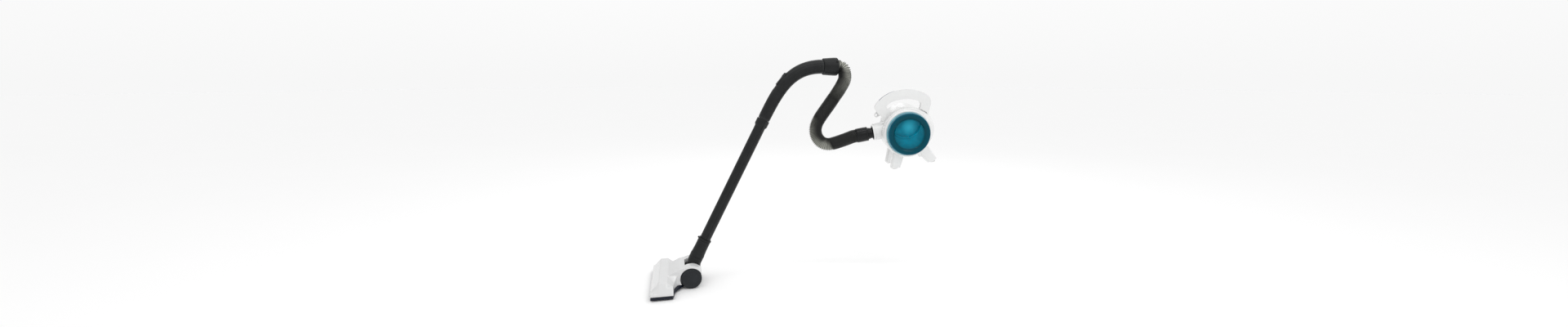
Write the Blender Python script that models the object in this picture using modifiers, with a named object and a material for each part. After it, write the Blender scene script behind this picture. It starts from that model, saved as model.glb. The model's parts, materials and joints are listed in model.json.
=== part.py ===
"""Canister vacuum cleaner: carried cleaner unit, hose, grip, wand and floor head.

All lengths below are in millimetres and are scaled to metres when a mesh is made.
Row frame: origin at the middle of the carry handle's grip, +X from the floor head
towards the cleaner unit, +Z up. Three empties hold the sub-assemblies' own frames.
"""
import math

import bmesh
import bpy
from mathutils import Matrix, Vector

MM = 0.001
GAP = 0.3                                # clearance between touching pieces

# ---- placing of the three sub-assemblies
UNIT_AT = (11.2, 0.0, -109.9)            # dust cup axis, middle of the unit
UNIT_TILT = 11.0                         # nose-down tilt of the carried unit, degrees
WAND_AT = (-632.9, -45.0, -540.9)        # wheel axis of the floor head, mid-plane
WAND_YAW = 12.0                          # the wand's plane is turned this much from X
WAND_LEAN = 63.0                         # wand axis above the floor, degrees

# ---- cleaner unit
CUP_R = 60.0
CUP_FRONT = -86.0
RING_R = 68.0
REAR_CX = 16.0                           # the rear housing sits off-centre
REAR_A = 77.0                            # half width of its oval section
REAR_B = 68.0                            # half height
PORT_Z = 12.0
PORT_Y = 8.0
PORT_R = 24.5
PORT_MOUTH = 89.0                        # port mouth's distance from the cup axis
CUFF_END = 140.0                         # hose cuff's far end, the same way
CUFF_THICK_R = 21.5
CUFF_THIN_R = 16.0
CUFF_BORE = 13.0
HANDLE_W = 26.0
HANDLE_BEVEL = 6.0
SWITCH_MID = (-30.0, 112.6)
SWITCH_TILT = 22.0
LUG_AT = (-64.6, 0.0, 67.4)
LUG_TURN = 147.0                         # the lug points away from the strut, degrees
LUG_R = 6.4
LUG_HOLE_R = 3.4
LUG_REACH = 7.0                          # the hole's distance from the strut
FOOT_Z = -96.0
PAD_R = 7.5
PAD_DEEP = 2.0
MOTOR_X = 20.0
MOTOR_Z = -4.0
CAN_R = 33.0
SHAFT_R = 3.0
BLADES = 6
FOLDS = 24                               # folds of the pleated filter
GRILLE_SLOTS = 7
GRILLE_PITCH = 12.0
WALL = 2.8                               # of the rear housing
LIP_DEEP = 1.5                           # its front lip, which closes the gap round the filter
LIP_CX = 2.0
LIP_R = 60.5
CORD_Y = 44.0                            # the cord's inlet, under the rear housing

# ---- hose, grip and wand
HOSE_R = 20.0
SLEEVE_R = 27.0
SLEEVE_FROM = 412.0
SLEEVE_TO = 457.0
SLEEVE_Z = 622.8
COLLAR_OUT = 1.8                         # the hose collar's lip beyond the sleeve
SCREW_OFF = 15.0                         # the sleeve's screws, above and below its axis
WAND_R = 16.4
WAND_BORE = 14.4
SEAM_AT = (18.4, 51.4)                   # swivel seam between elbow and wand
CUFF_LEN = 56.0
WAND_TOP = 465.5                         # distance from the seam to the wand's top
SPIGOT_R = 15.2                          # the elbow's end that turns in the cuff
GRIP_PULL_LOW = 102.0                    # how far the grip's curve runs on along the wand
GRIP_PULL_HIGH = 98.0                    # and back from the sleeve
GRIP_R_LOW = 18.2
GRIP_R_HIGH = 21.2
GRIP_BORE = 14.6
SLIDER_STATION = 5                       # where the slider sits along the grip's line

# ---- floor head, measured from the wheel axis
WHEEL_R = 31.0
WHEEL_IN = 39.0
WHEEL_OUT = 51.0
HEAD_HALF = 117.0
HEAD_FRONT = -117.0
HEAD_REAR = -52.0
BASE_Z = -27.0
COVER_Z = -18.0
ARCH_R = 39.5
SLOT_HALF = 24.3
DRUM_R = 30.0
ELBOW_BORE = 12.0
PIN_R = 3.0
PIN_FROM = 14.0                          # the pin's inner end, from the mid-plane
BORE_END = 47.0                          # bottom of the wheel's blind bore
AIR_WAY_TOP = -8.0                       # ceiling of the air way behind the mouth
MOUTH = ((-102.0, -96.0), (-79.0, 96.0)) # plan corners of the suction mouth
BRISTLES = (("front_bristle", -108.5), ("rear_bristle", -72.0))
BRISTLE_HALF = 94.0

HOSE_STRAIGHT = 9.0                      # straight stretch at each end of the hose
# The hose's middle line between the grip's swivel collar and the port cuff
HOSE_ROUTE = [
    (-165.2, 49.8, 74.0), (-161.8, 46.4, 60.0), (-162.2, 41.8, 45.0),
    (-168.6, 37.7, 30.7), (-177.1, 34.3, 16.0), (-187.4, 30.9, 0.4), (-199.8, 29.2, -17.5),
    (-212.3, 27.4, -35.5), (-225.2, 25.8, -53.5), (-238.2, 24.0, -72.5), (-247.4, 21.6, -89.5),
    (-251.4, 19.0, -107.4), (-248.4, 16.6, -125.0), (-239.0, 14.4, -139.8), (-225.0, 12.4, -149.0),
    (-209.0, 10.8, -150.8), (-191.6, 9.4, -146.6), (-175.4, 8.6, -141.0), (-159.4, 8.1, -135.2),
]


# ------------------------------------------------------------------ helpers
def clear_scene():
    for thing in list(bpy.data.objects):
        bpy.data.objects.remove(thing, do_unlink=True)


clear_scene()
PARTS = bpy.data.collections.new("canister_vacuum")
CUTTERS = bpy.data.collections.new("cutters")
bpy.context.scene.collection.children.link(PARTS)
bpy.context.scene.collection.children.link(CUTTERS)


def material(name, color, roughness, metallic=0.0, alpha=1.0):
    mat = bpy.data.materials.new(name)
    mat.use_nodes = True
    shader = mat.node_tree.nodes["Principled BSDF"]
    shader.inputs["Base Color"].default_value = (*color, 1.0)
    shader.inputs["Roughness"].default_value = roughness
    shader.inputs["Metallic"].default_value = metallic
    shader.inputs["Alpha"].default_value = alpha
    return mat


WHITE = material("white_plastic", (0.86, 0.86, 0.85), 0.25)
TEAL = material("teal_clear", (0.01, 0.22, 0.32), 0.12, alpha=0.8)
BLACK = material("black_plastic", (0.035, 0.037, 0.038), 0.42)
SLATE = material("slate_plastic", (0.045, 0.05, 0.056), 0.5)
BLUE = material("switch_blue", (0.012, 0.05, 0.14), 0.35)
HOSE_MAT = material("hose_plastic", (0.05, 0.05, 0.048), 0.5)
RUBBER = material("rubber", (0.02, 0.02, 0.02), 0.8)
PAD = material("pad_rubber", (0.55, 0.55, 0.54), 0.7)
STEEL = material("steel", (0.55, 0.56, 0.57), 0.35, 1.0)
PAPER = material("filter_paper", (0.75, 0.73, 0.66), 0.9)
BRISTLE = material("bristle", (0.12, 0.12, 0.13), 0.85)


def frame(name, at, rotation):
    empty = bpy.data.objects.new(name, None)
    empty.location = Vector(at) * MM
    empty.rotation_euler = rotation
    PARTS.objects.link(empty)
    return empty


UNIT = frame("unit_frame", UNIT_AT, (0, -math.radians(UNIT_TILT), 0))
WAND = frame("wand_frame", WAND_AT, (0, 0, math.radians(WAND_YAW)))
ROW = frame("row_frame", (0, 0, 0), (0, 0, 0))


def thing_from(name, bm, mat, parent, at=(0, 0, 0), rotation=(0, 0, 0), cutter=False):
    """An object from a bmesh in millimetres."""
    bmesh.ops.recalc_face_normals(bm, faces=bm.faces)
    bmesh.ops.scale(bm, vec=(MM, MM, MM), verts=bm.verts)
    mesh = bpy.data.meshes.new(name)
    bm.to_mesh(mesh)
    bm.free()
    mesh.shade_smooth()
    mesh.set_sharp_from_angle(angle=math.radians(35))
    thing = bpy.data.objects.new(name, mesh)
    thing.location = Vector(at) * MM
    thing.rotation_euler = rotation
    thing.parent = parent
    if cutter:
        CUTTERS.objects.link(thing)
        thing.hide_render = True
        thing.display_type = "WIRE"
    else:
        mesh.materials.append(mat)
        PARTS.objects.link(thing)
    return thing


def cut(thing, tool, operation="DIFFERENCE"):
    mod = thing.modifiers.new(operation.lower(), "BOOLEAN")
    mod.operation = operation
    mod.object = tool
    mod.solver = "EXACT"
    return thing


def bevel(thing, width, segments=2, angle=30):
    mod = thing.modifiers.new("bevel", "BEVEL")
    mod.width = width * MM
    mod.segments = segments
    mod.limit_method = "ANGLE"
    mod.angle_limit = math.radians(angle)
    mod.use_clamp_overlap = True
    return thing


def block(name, lo, hi, mat, parent, cutter=False, at=(0, 0, 0), rotation=(0, 0, 0)):
    bm = bmesh.new()
    bmesh.ops.create_cube(bm, size=1.0)
    lo, hi = Vector(lo), Vector(hi)
    bmesh.ops.scale(bm, vec=hi - lo, verts=bm.verts)
    bmesh.ops.translate(bm, vec=(lo + hi) / 2, verts=bm.verts)
    return thing_from(name, bm, mat, parent, at, rotation, cutter)


def rod(name, radius, lo, hi, mat, parent, steps=32, cutter=False, at=(0, 0, 0),
        rotation=(0, 0, 0)):
    """A cylinder along its own z, from lo to hi."""
    bm = bmesh.new()
    bmesh.ops.create_cone(bm, cap_ends=True, segments=steps, radius1=radius, radius2=radius,
                          depth=hi - lo)
    bmesh.ops.translate(bm, vec=(0, 0, (lo + hi) / 2), verts=bm.verts)
    return thing_from(name, bm, mat, parent, at, rotation, cutter)


def turned(name, profile, mat, parent, at=(0, 0, 0), rotation=(0, 0, 0), steps=48, ring=True):
    """A Screw-turned piece. The profile holds (radius, height) and runs down its outer side."""
    mesh = bpy.data.meshes.new(name)
    count = len(profile)
    edges = [(i, i + 1) for i in range(count - 1)]
    if ring:
        edges.append((count - 1, 0))
    mesh.from_pydata([(r * MM, 0, z * MM) for r, z in profile], edges, [])
    thing = bpy.data.objects.new(name, mesh)
    thing.location = Vector(at) * MM
    thing.rotation_euler = rotation
    thing.parent = parent
    mod = thing.modifiers.new("turn", "SCREW")
    mod.steps = steps
    mod.render_steps = steps
    mod.use_merge_vertices = True
    mod.merge_threshold = 0.00001
    mod.use_smooth_shade = True
    mesh.materials.append(mat)
    PARTS.objects.link(thing)
    return thing


def extruded(name, outline, lo, hi, mat, parent, cutter=False, at=(0, 0, 0), rotation=(0, 0, 0)):
    """An outline of (x, z) points, extruded along y from lo to hi."""
    bm = bmesh.new()
    face = bm.faces.new([bm.verts.new((x, lo, z)) for x, z in outline])
    grown = bmesh.ops.extrude_face_region(bm, geom=[face])
    moved = [v for v in grown["geom"] if isinstance(v, bmesh.types.BMVert)]
    bmesh.ops.translate(bm, vec=(0, hi - lo, 0), verts=moved)
    return thing_from(name, bm, mat, parent, at, rotation, cutter)


def loft(name, rings, mat, parent, closed=False, cutter=False, at=(0, 0, 0), rotation=(0, 0, 0)):
    """A skin through rings of equal count: capped at both ends, or joined last to first."""
    bm = bmesh.new()
    rows = [[bm.verts.new(p) for p in ring] for ring in rings]
    pairs = list(zip(rows, rows[1:]))
    if closed:
        pairs.append((rows[-1], rows[0]))
    count = len(rows[0])
    for a, b in pairs:
        for i in range(count):
            j = (i + 1) % count
            bm.faces.new((a[i], a[j], b[j], b[i]))
    if not closed:
        bm.faces.new(rows[0])
        bm.faces.new(rows[-1])
    bmesh.ops.triangulate(bm, faces=bm.faces)
    return thing_from(name, bm, mat, parent, at, rotation, cutter)


def smooth_line(points, per_span):
    """Catmull-Rom points through a list of 2D or 3D points."""
    pts = [Vector(p) for p in points]
    pts = [2 * pts[0] - pts[1]] + pts + [2 * pts[-1] - pts[-2]]
    out = []
    for i in range(1, len(pts) - 2):
        p0, p1, p2, p3 = pts[i - 1: i + 3]
        for s in range(per_span):
            t = s / per_span
            out.append(0.5 * (2 * p1 + (p2 - p0) * t + (2 * p0 - 5 * p1 + 4 * p2 - p3) * t * t
                              + (3 * p1 - p0 - 3 * p2 + p3) * t ** 3))
    out.append(pts[-2])
    return out


def arc(cx, cz, radius, start, end, steps):
    """Points of an arc in degrees, both ends included."""
    turns = [math.radians(start + (end - start) * i / steps) for i in range(steps + 1)]
    return [(cx + radius * math.cos(t), cz + radius * math.sin(t)) for t in turns]


FACING_FRONT = (math.radians(90), 0, 0)   # own +z looks along the unit's -y
FACING_REAR = (-math.radians(90), 0, 0)
OVAL_STEPS = 40


# ------------------------------------------------------------- cleaner unit
def oval(y, cx, a, b, inset=0.0):
    """An upright oval ring at y, centred on x = cx."""
    turns = [2 * math.pi * i / OVAL_STEPS for i in range(OVAL_STEPS)]
    return [(cx + (a - inset) * math.cos(t), y, (b - inset) * math.sin(t)) for t in turns]


# y, centre x, half width, half height of the rear housing's outer skin
REAR_SECTIONS = [
    (-20.0, 8.0, 70.0, 66.0), (-12.0, 15.4, 76.2, 67.6), (-2.0, REAR_CX, REAR_A, REAR_B),
    (56.0, REAR_CX, REAR_A, REAR_B), (74.0, REAR_CX, 73.0, 63.5), (84.0, REAR_CX, 65.0, 56.0),
    (88.0, REAR_CX, 59.0, 50.0),
]


def housings():
    front = [(62.0, 66.0), (RING_R - 2.5, 66.0), (RING_R, 63.0), (RING_R, 40.0), (66.6, 20.3),
             (63.0, 20.3), (63.0, 24.0), (57.0, 24.0), (57.0, 27.5), (62.0, 27.5)]
    turned("front_housing", front, WHITE, UNIT, rotation=FACING_FRONT, steps=44)
    outer = [oval(y, cx, a, b) for y, cx, a, b in REAR_SECTIONS]
    inner = [oval(y, cx, a, b, WALL) for y, cx, a, b in reversed(REAR_SECTIONS[1:])]
    y, cx, a, b = REAR_SECTIONS[0]
    lip = [oval(y + LIP_DEEP, cx, a, b, WALL), oval(y + LIP_DEEP, LIP_CX, LIP_R, LIP_R),
           oval(y, LIP_CX, LIP_R, LIP_R)]
    rear = loft("rear_housing", outer + inner + lip, WHITE, UNIT, closed=True)
    tool = rod("port_hole", PORT_R + 1.5 + GAP, -20, 40, None, UNIT, cutter=True,
               at=(-40, PORT_Y, PORT_Z), rotation=(0, -math.radians(90), 0))
    cut(rear, tool)


def inlet_port():
    profile = [(20.5, 49.0), (PORT_R - 0.8, 49.0), (PORT_R, 48.0), (PORT_R + 1.0, 18.0),
               (PORT_R + 1.5, 16.0), (PORT_R + 1.5, 2.0), (20.5, 2.0)]
    turned("inlet_port", profile, WHITE, UNIT, at=(-40, PORT_Y, PORT_Z),
           rotation=(0, -math.radians(90), 0), steps=32)


def dust_cup():
    cup = [(0.0, 80.0), (43.0, 80.0), (45.5, 83.0), (54.0, 85.6), (57.5, 85.2), (CUP_R - 0.4, 82.5),
           (CUP_R, 79.0), (CUP_R, 36.0), (CUP_R - 2.4, 36.0), (CUP_R - 2.4, 78.0), (55.5, 82.0),
           (52.0, 82.5), (47.0, 80.3), (45.0, 77.2), (0.0, 77.2)]
    turned("dust_cup", cup, TEAL, UNIT, rotation=FACING_FRONT, steps=44, ring=False)
    turned("cup_seal", [(57.4, 35.6), (61.2, 35.6), (61.2, 31.2), (57.4, 31.2)], RUBBER, UNIT,
           rotation=FACING_FRONT, steps=32)
    ridge = [(-41.0, 8.0), (-30.0, -1.5), (-14.0, -8.0), (2.0, -9.0), (18.0, -3.0), (30.0, 8.0),
             (37.0, 20.0)]
    line = smooth_line([(x, 0, z) for x, z in ridge], 2)
    rings = []
    foot_y, top_y = Vector((0, -80.3, 0)), Vector((0, -85.0, 0))
    for i, p in enumerate(line):
        a = line[max(0, i - 1)]
        b = line[min(len(line) - 1, i + 1)]
        along = (b - a).normalized()
        side = Vector((-along.z, 0, along.x)) * 2.0
        rings.append([p + side + foot_y, p + side + top_y, p - side + top_y, p - side + foot_y])
    bevel(loft("cup_grip_rib", rings, TEAL, UNIT), 0.8, 1)


def filter_unit():
    plate = [(17.0, 30.8), (61.6, 30.8), (61.6, 27.8), (20.0, 27.8), (20.0, 16.0), (17.0, 16.0)]
    turned("filter_frame", plate, BLACK, UNIT, rotation=FACING_FRONT, steps=32)
    outer = []
    for i in range(2 * FOLDS):
        radius = 34.0 if i % 2 == 0 else 28.0
        t = math.pi * i / FOLDS
        outer.append((radius * math.cos(t), radius * math.sin(t)))
    inner = [(x * 0.82, z * 0.82) for x, z in outer]
    rings = [[(x, -66.0, z) for x, z in outer], [(x, -31.1, z) for x, z in outer],
             [(x, -31.1, z) for x, z in inner], [(x, -66.0, z) for x, z in inner]]
    loft("pleated_filter", rings, PAPER, UNIT, closed=True)
    turned("filter_cap", [(0.0, 70.0), (35.0, 70.0), (36.0, 66.3), (0.0, 66.3)], BLACK, UNIT,
           rotation=FACING_FRONT, steps=32, ring=False)


def motor():
    at = (MOTOR_X, 0, MOTOR_Z)
    turned("fan_shroud", [(15.0, 13.0), (42.0, 13.0), (44.0, 11.0), (44.0, -7.0), (41.6, -7.0),
                          (41.6, 10.6), (15.0, 10.6)],
           STEEL, UNIT, at=at, rotation=FACING_FRONT, steps=28)
    wheel = rod("fan_impeller", 38.0, -1.0, 1.0, STEEL, UNIT, 28, at=at, rotation=FACING_FRONT)
    hub = rod("impeller_hub", 9.0, -4.0, 8.0, None, UNIT, 24, True, at=at, rotation=FACING_FRONT)
    cut(wheel, hub, "UNION")
    for i in range(BLADES):
        blade = block("impeller_blade_%d" % i, (7.0, -0.8, 0.5), (36.5, 0.8, 8.0), None, wheel, True,
                      rotation=(0, 0, 2 * math.pi * i / BLADES))
        cut(wheel, blade, "UNION")
    bore_r = SHAFT_R + GAP
    cut(wheel, rod("impeller_bore", bore_r, -10, 12, None, UNIT, 20, True, at=at, rotation=FACING_FRONT))
    rod("rotor_shaft", SHAFT_R, -70.0, 8.6, STEEL, UNIT, 20, at=at, rotation=FACING_FRONT)
    turned("motor_armature", [(bore_r, -22.0), (22.0, -22.0), (22.0, -50.0), (bore_r, -50.0)],
           STEEL, UNIT, at=at, rotation=FACING_FRONT, steps=28)
    turned("motor_can", [(8.4, -9.0), (CAN_R, -9.0), (CAN_R, -64.0), (CAN_R - 2.4, -64.0),
                         (CAN_R - 2.4, -12.0), (8.4, -12.0)],
           STEEL, UNIT, at=at, rotation=FACING_FRONT, steps=28)
    turned("motor_end_cap", [(8.4, -64.3), (CAN_R, -64.3), (CAN_R, -67.5), (8.4, -67.5)],
           BLACK, UNIT, at=at, rotation=FACING_FRONT, steps=24)
    race_r = SHAFT_R + 0.1
    for name, z in (("front_bearing", -9.0), ("rear_bearing", -64.3)):
        turned(name, [(race_r, z), (8.1, z), (8.1, z - 3.2), (race_r, z - 3.2)], STEEL, UNIT,
               at=at, rotation=FACING_FRONT, steps=24)
    collar = extruded("motor_mount", arc(MOTOR_X, MOTOR_Z, 41.0, 0, 350, 35), 20.0, 28.0, RUBBER, UNIT)
    cut(collar, rod("mount_bore", CAN_R + GAP, 10, 40, None, UNIT, 36, True, at=at, rotation=FACING_REAR))


def exhaust():
    disc = loft("exhaust_grille", [oval(84.5, REAR_CX, 64.0, 55.0, WALL + GAP),
                                   oval(88.0, REAR_CX, 58.5, 49.5, WALL + GAP)], WHITE, UNIT)
    for i in range(GRILLE_SLOTS):
        z = GRILLE_PITCH * (i - (GRILLE_SLOTS - 1) / 2)
        half = 52.0 * math.sqrt(max(0.1, 1 - (z / 47.0) ** 2)) - 5.0
        slot = block("grille_slot_%d" % i, (REAR_CX - half, 80.0, z - 2.4),
                     (REAR_CX + half, 92.0, z + 2.4), None, UNIT, True)
        cut(disc, slot)
    loft("exhaust_filter", [oval(75.6, REAR_CX, 66.0, 56.0), oval(82.0, REAR_CX, 61.0, 51.5)],
         PAPER, UNIT)
    gland = [(3.6, 12.0), (6.0, 12.0), (7.0, 2.0), (10.0, 2.0), (10.0, 0.4), (3.6, 0.4)]
    turned("cord_inlet", gland, RUBBER, UNIT, at=(REAR_CX, CORD_Y, -REAR_B),
           rotation=(0, math.radians(180), 0), steps=20)


HANDLE_OUT = [(-42.0, 38.0), (-58.0, 60.0), (-69.0, 77.0), (-71.0, 88.0), (-62.0, 99.0), (-47.0, 109.0),
              (-33.0, 115.7), (-13.0, 121.0), (8.0, 122.0), (32.0, 119.0), (56.0, 111.0), (76.0, 99.5),
              (88.0, 86.0), (90.0, 72.0), (83.0, 54.0), (76.0, 36.0)]
HANDLE_IN = [(54.0, 44.0), (61.0, 60.0), (65.0, 72.0), (61.0, 81.0), (48.0, 89.5), (30.0, 95.5),
             (8.0, 98.5), (-13.0, 97.5), (-30.0, 93.5), (-40.5, 86.0), (-39.0, 77.0), (-29.0, 63.0),
             (-18.0, 50.0)]


def handle():
    outline = [(p.x, p.y) for p in smooth_line([(x, z, 0) for x, z in HANDLE_OUT], 2)]
    outline += [(p.x, p.y) for p in smooth_line([(x, z, 0) for x, z in HANDLE_IN], 2)]
    bar = extruded("carry_handle", outline, -HANDLE_W / 2, HANDLE_W / 2, WHITE, UNIT)
    bevel(bar, HANDLE_BEVEL, 3, 50)
    skin = loft("handle_seat", [oval(-40, REAR_CX, REAR_A + GAP, REAR_B + GAP),
                                oval(40, REAR_CX, REAR_A + GAP, REAR_B + GAP)],
                None, UNIT, cutter=True)
    cut(bar, skin)
    tilt = (0, -math.radians(SWITCH_TILT), 0)
    at = (SWITCH_MID[0], 0, SWITCH_MID[1])
    well = block("switch_well", (-27.5, -6.8, -7.0), (27.5, 6.8, 20.0), None, UNIT, True, at, tilt)
    cut(bar, well)
    bevel(block("power_switch", (-27.0, -6.3, -1.5), (27.0, 6.3, 5.6), BLUE, UNIT, False, at, tilt),
          1.6, 2)
    block("switch_contact", (-10.0, -5.5, -6.7), (10.0, 5.5, -4.0), BLACK, UNIT, False, at, tilt)
    turn = math.radians(LUG_TURN)
    outline = arc(LUG_REACH, 0, LUG_R, -90, 90, 10) + [(0.0, LUG_R + 1.2), (0.0, -LUG_R - 1.2)]
    lug = extruded("strap_lug", outline, -2.4, 2.4, WHITE, UNIT, at=LUG_AT, rotation=(0, turn, 0))
    hole_at = (LUG_AT[0] + LUG_REACH * math.cos(turn), 0, LUG_AT[2] - LUG_REACH * math.sin(turn))
    cut(lug, rod("lug_hole", LUG_HOLE_R, -10, 10, None, UNIT, 16, True, at=hole_at,
                 rotation=FACING_FRONT))


def foot(name, pad_name, root, tip, y_mid, seat):
    """A flared leg, cut to the housing it stands on, and its rubber pad."""
    along = (Vector((tip[0], 0, tip[1])) - Vector((root[0], 0, root[1]))).normalized()
    side = Vector((along.z, 0, -along.x))
    rings = []
    for (x, z), half, deep in ((root, 17.0, 14.0), (tip, 13.5, 10.0)):
        mid = Vector((x, y_mid, z))
        rings.append([mid + side * a * half + Vector((0, b * deep, 0))
                      for a, b in ((-1, -1), (1, -1), (1, 1), (-1, 1))])
    leg = loft(name, rings, WHITE, UNIT)
    bevel(leg, 3.5, 2, 40)
    cut(leg, seat)
    cut(leg, block(name + "_level", (-200, -200, FOOT_Z - 60), (200, 200, FOOT_Z), None, UNIT, True))
    mid_x = tip[0] - along.x * 3
    turned(pad_name, [(0.0, FOOT_Z - GAP), (PAD_R, FOOT_Z - GAP), (PAD_R, FOOT_Z - PAD_DEEP),
                      (0.0, FOOT_Z - PAD_DEEP)],
           PAD, UNIT, at=(mid_x, y_mid, 0), steps=20, ring=False)


def feet():
    round_seat = rod("front_seat", RING_R + GAP, -120, 120, None, UNIT, 64, True,
                     rotation=FACING_FRONT)
    oval_seat = loft("rear_seat", [oval(20, REAR_CX, REAR_A + GAP, REAR_B + GAP),
                                   oval(120, REAR_CX, REAR_A + GAP, REAR_B + GAP)],
                     None, UNIT, cutter=True)
    foot("foot_front_left", "pad_front_left", (-32.0, -50.0), (-50.0, -99.0), -45.0, round_seat)
    foot("foot_front_right", "pad_front_right", (34.0, -48.0), (64.0, -97.0), -45.0, round_seat)
    foot("foot_rear_left", "pad_rear_left", (-24.0, -50.0), (-46.0, -99.0), 52.0, oval_seat)
    foot("foot_rear_right", "pad_rear_right", (46.0, -46.0), (64.0, -97.0), 52.0, oval_seat)


def unit_screws():
    for name, x in (("grille_screw_left", REAR_CX - 49.0), ("grille_screw_right", REAR_CX + 49.0)):
        turned(name, [(0.0, 2.0), (3.5, 2.0), (3.5, GAP), (0.0, GAP)], STEEL, UNIT,
               at=(x, 88.0, 0), rotation=FACING_REAR, steps=16, ring=False)


# ------------------------------------------------------------- hose
def hose():
    curve = bpy.data.curves.new("hose", "CURVE")
    curve.dimensions = "3D"
    curve.bevel_depth = HOSE_R * MM
    curve.bevel_resolution = 3
    curve.use_fill_caps = True
    curve.render_resolution_u = 0
    tilt = math.radians(UNIT_TILT)
    yaw = math.radians(WAND_YAW)
    out_dir = Vector((math.cos(yaw), math.sin(yaw), 0))
    in_dir = Vector((math.cos(tilt), 0, math.sin(tilt)))
    start = Vector(WAND_AT) + out_dir * (SLEEVE_TO + COLLAR_OUT + 2 * GAP) + Vector((0, 0, SLEEVE_Z))
    port = Vector((-math.sin(tilt) * PORT_Z, PORT_Y, math.cos(tilt) * PORT_Z))
    end = Vector(UNIT_AT) + port - in_dir * (CUFF_END + GAP)
    smooth = smooth_line([start + out_dir * HOSE_STRAIGHT] + HOSE_ROUTE
                         + [end - in_dir * HOSE_STRAIGHT], 2)
    line = [start] + smooth + [end]
    spline = curve.splines.new("POLY")
    spline.points.add(len(line) - 1)
    for point, p in zip(spline.points, line):
        point.co = (*(p * MM), 1.0)
    curve.materials.append(HOSE_MAT)
    tube = bpy.data.objects.new("hose", curve)
    tube.parent = ROW
    PARTS.objects.link(tube)
    near = PORT_MOUTH - CUFF_END
    cuff = [(CUFF_BORE, 27.5), (CUFF_THIN_R, 27.5), (CUFF_THIN_R, -9.0), (CUFF_THIN_R + 1.2, -9.5),
            (CUFF_THIN_R + 1.2, -14.0), (CUFF_THICK_R, -15.5), (CUFF_THICK_R, near + 2.0),
            (CUFF_THICK_R - 1.5, near), (CUFF_BORE, near)]
    turned("hose_port_cuff", cuff, BLACK, UNIT, at=(-PORT_MOUTH, PORT_Y, PORT_Z),
           rotation=(0, math.radians(90), 0), steps=28)


# ------------------------------------------------------------- grip and wand
def wand_point(s, out=0.0):
    """A point on the wand's axis, s along it from the swivel seam, out to its upper side."""
    t = math.radians(WAND_LEAN)
    return Vector((SEAM_AT[0] + s * math.cos(t) - out * math.sin(t), 0,
                   SEAM_AT[1] + s * math.sin(t) + out * math.cos(t)))


ALONG_WAND = (0, math.radians(90 - WAND_LEAN), 0)


def grip_line():
    """The grip's middle line: points and directions of one cubic curve."""
    steps = 11
    t0 = math.radians(WAND_LEAN)
    a = wand_point(WAND_TOP + 0.4)
    d = Vector((SLEEVE_FROM - GAP, 0, SLEEVE_Z))
    b = a + Vector((math.cos(t0), 0, math.sin(t0))) * GRIP_PULL_LOW
    c = d - Vector((GRIP_PULL_HIGH, 0, 0))
    out = []
    for i in range(steps + 1):
        t = i / steps
        u = 1 - t
        point = a * u ** 3 + b * 3 * u * u * t + c * 3 * u * t * t + d * t ** 3
        slope = (b - a) * u * u + (c - b) * 2 * u * t + (d - c) * t * t
        out.append((point, slope.normalized(), t))
    return out


def ring_at(point, along, in_plane, across, steps=20):
    side = Vector((-along.z, 0, along.x))
    return [point + side * in_plane * math.cos(2 * math.pi * i / steps)
            + Vector((0, 1, 0)) * across * math.sin(2 * math.pi * i / steps) for i in range(steps)]


def grip():
    line = grip_line()
    outer = []
    inner = []
    for point, along, t in line:
        grow = GRIP_R_LOW + (GRIP_R_HIGH - GRIP_R_LOW) * t
        outer.append(ring_at(point, along, grow, grow - 1.0 * (1 - t)))
        inner.append(ring_at(point, along, GRIP_BORE, GRIP_BORE - 0.4))
    tube = loft("grip_tube", outer + inner[::-1], BLACK, WAND, closed=True)
    point, along, _ = line[SLIDER_STATION]
    side = Vector((-along.z, 0, along.x))
    turn = (0, -math.atan2(along.z, along.x), 0)
    seat_at = point + side * 15.8
    seat = block("slider_seat", (-36.0, -9.2, 0.0), (28.0, 9.2, 20.0), None, WAND, True, seat_at, turn)
    cut(tube, seat)
    vent = block("slider_vent", (-6.0, -4.0, -8.0), (14.0, 4.0, 8.0), None, WAND, True, seat_at, turn)
    cut(tube, vent)
    bevel(block("suction_slider", (-18.0, -8.6, 0.4), (27.0, 8.6, 6.4), BLACK, WAND, False, seat_at,
                turn), 1.5, 2)
    sleeve = [(21.6, SLEEVE_TO - 2.0), (SLEEVE_R - 1.4, SLEEVE_TO), (SLEEVE_R, SLEEVE_TO - 2.5),
              (SLEEVE_R - 2.2, SLEEVE_FROM + 1.0), (SLEEVE_R - 3.4, SLEEVE_FROM),
              (15.0, SLEEVE_FROM), (15.0, SLEEVE_FROM + 3.0), (21.6, SLEEVE_FROM + 5.0)]
    turned("swivel_sleeve", sleeve, BLACK, WAND, at=(0, 0, SLEEVE_Z),
           rotation=(0, math.radians(90), 0), steps=32)
    collar = [(CUFF_BORE, SLEEVE_TO + COLLAR_OUT), (20.4, SLEEVE_TO + COLLAR_OUT), (21.2, SLEEVE_TO - 1.0),
              (21.2, SLEEVE_FROM + 8.0), (CUFF_BORE, SLEEVE_FROM + 8.0)]
    turned("hose_collar", collar, BLACK, WAND, at=(0, 0, SLEEVE_Z), rotation=(0, math.radians(90), 0),
           steps=24)
    for name, z in (("sleeve_screw_top", SCREW_OFF), ("sleeve_screw_bottom", -SCREW_OFF)):
        y = -math.sqrt((SLEEVE_R - 0.3) ** 2 - z * z)
        turned(name, [(0.0, 1.6), (2.4, 1.6), (2.8, GAP), (0.0, GAP)], BLACK, WAND,
               at=(SLEEVE_TO - 6.0, y, SLEEVE_Z + z),
               rotation=(math.radians(90) - math.atan2(z, -y), 0, 0), steps=12, ring=False)


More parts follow.
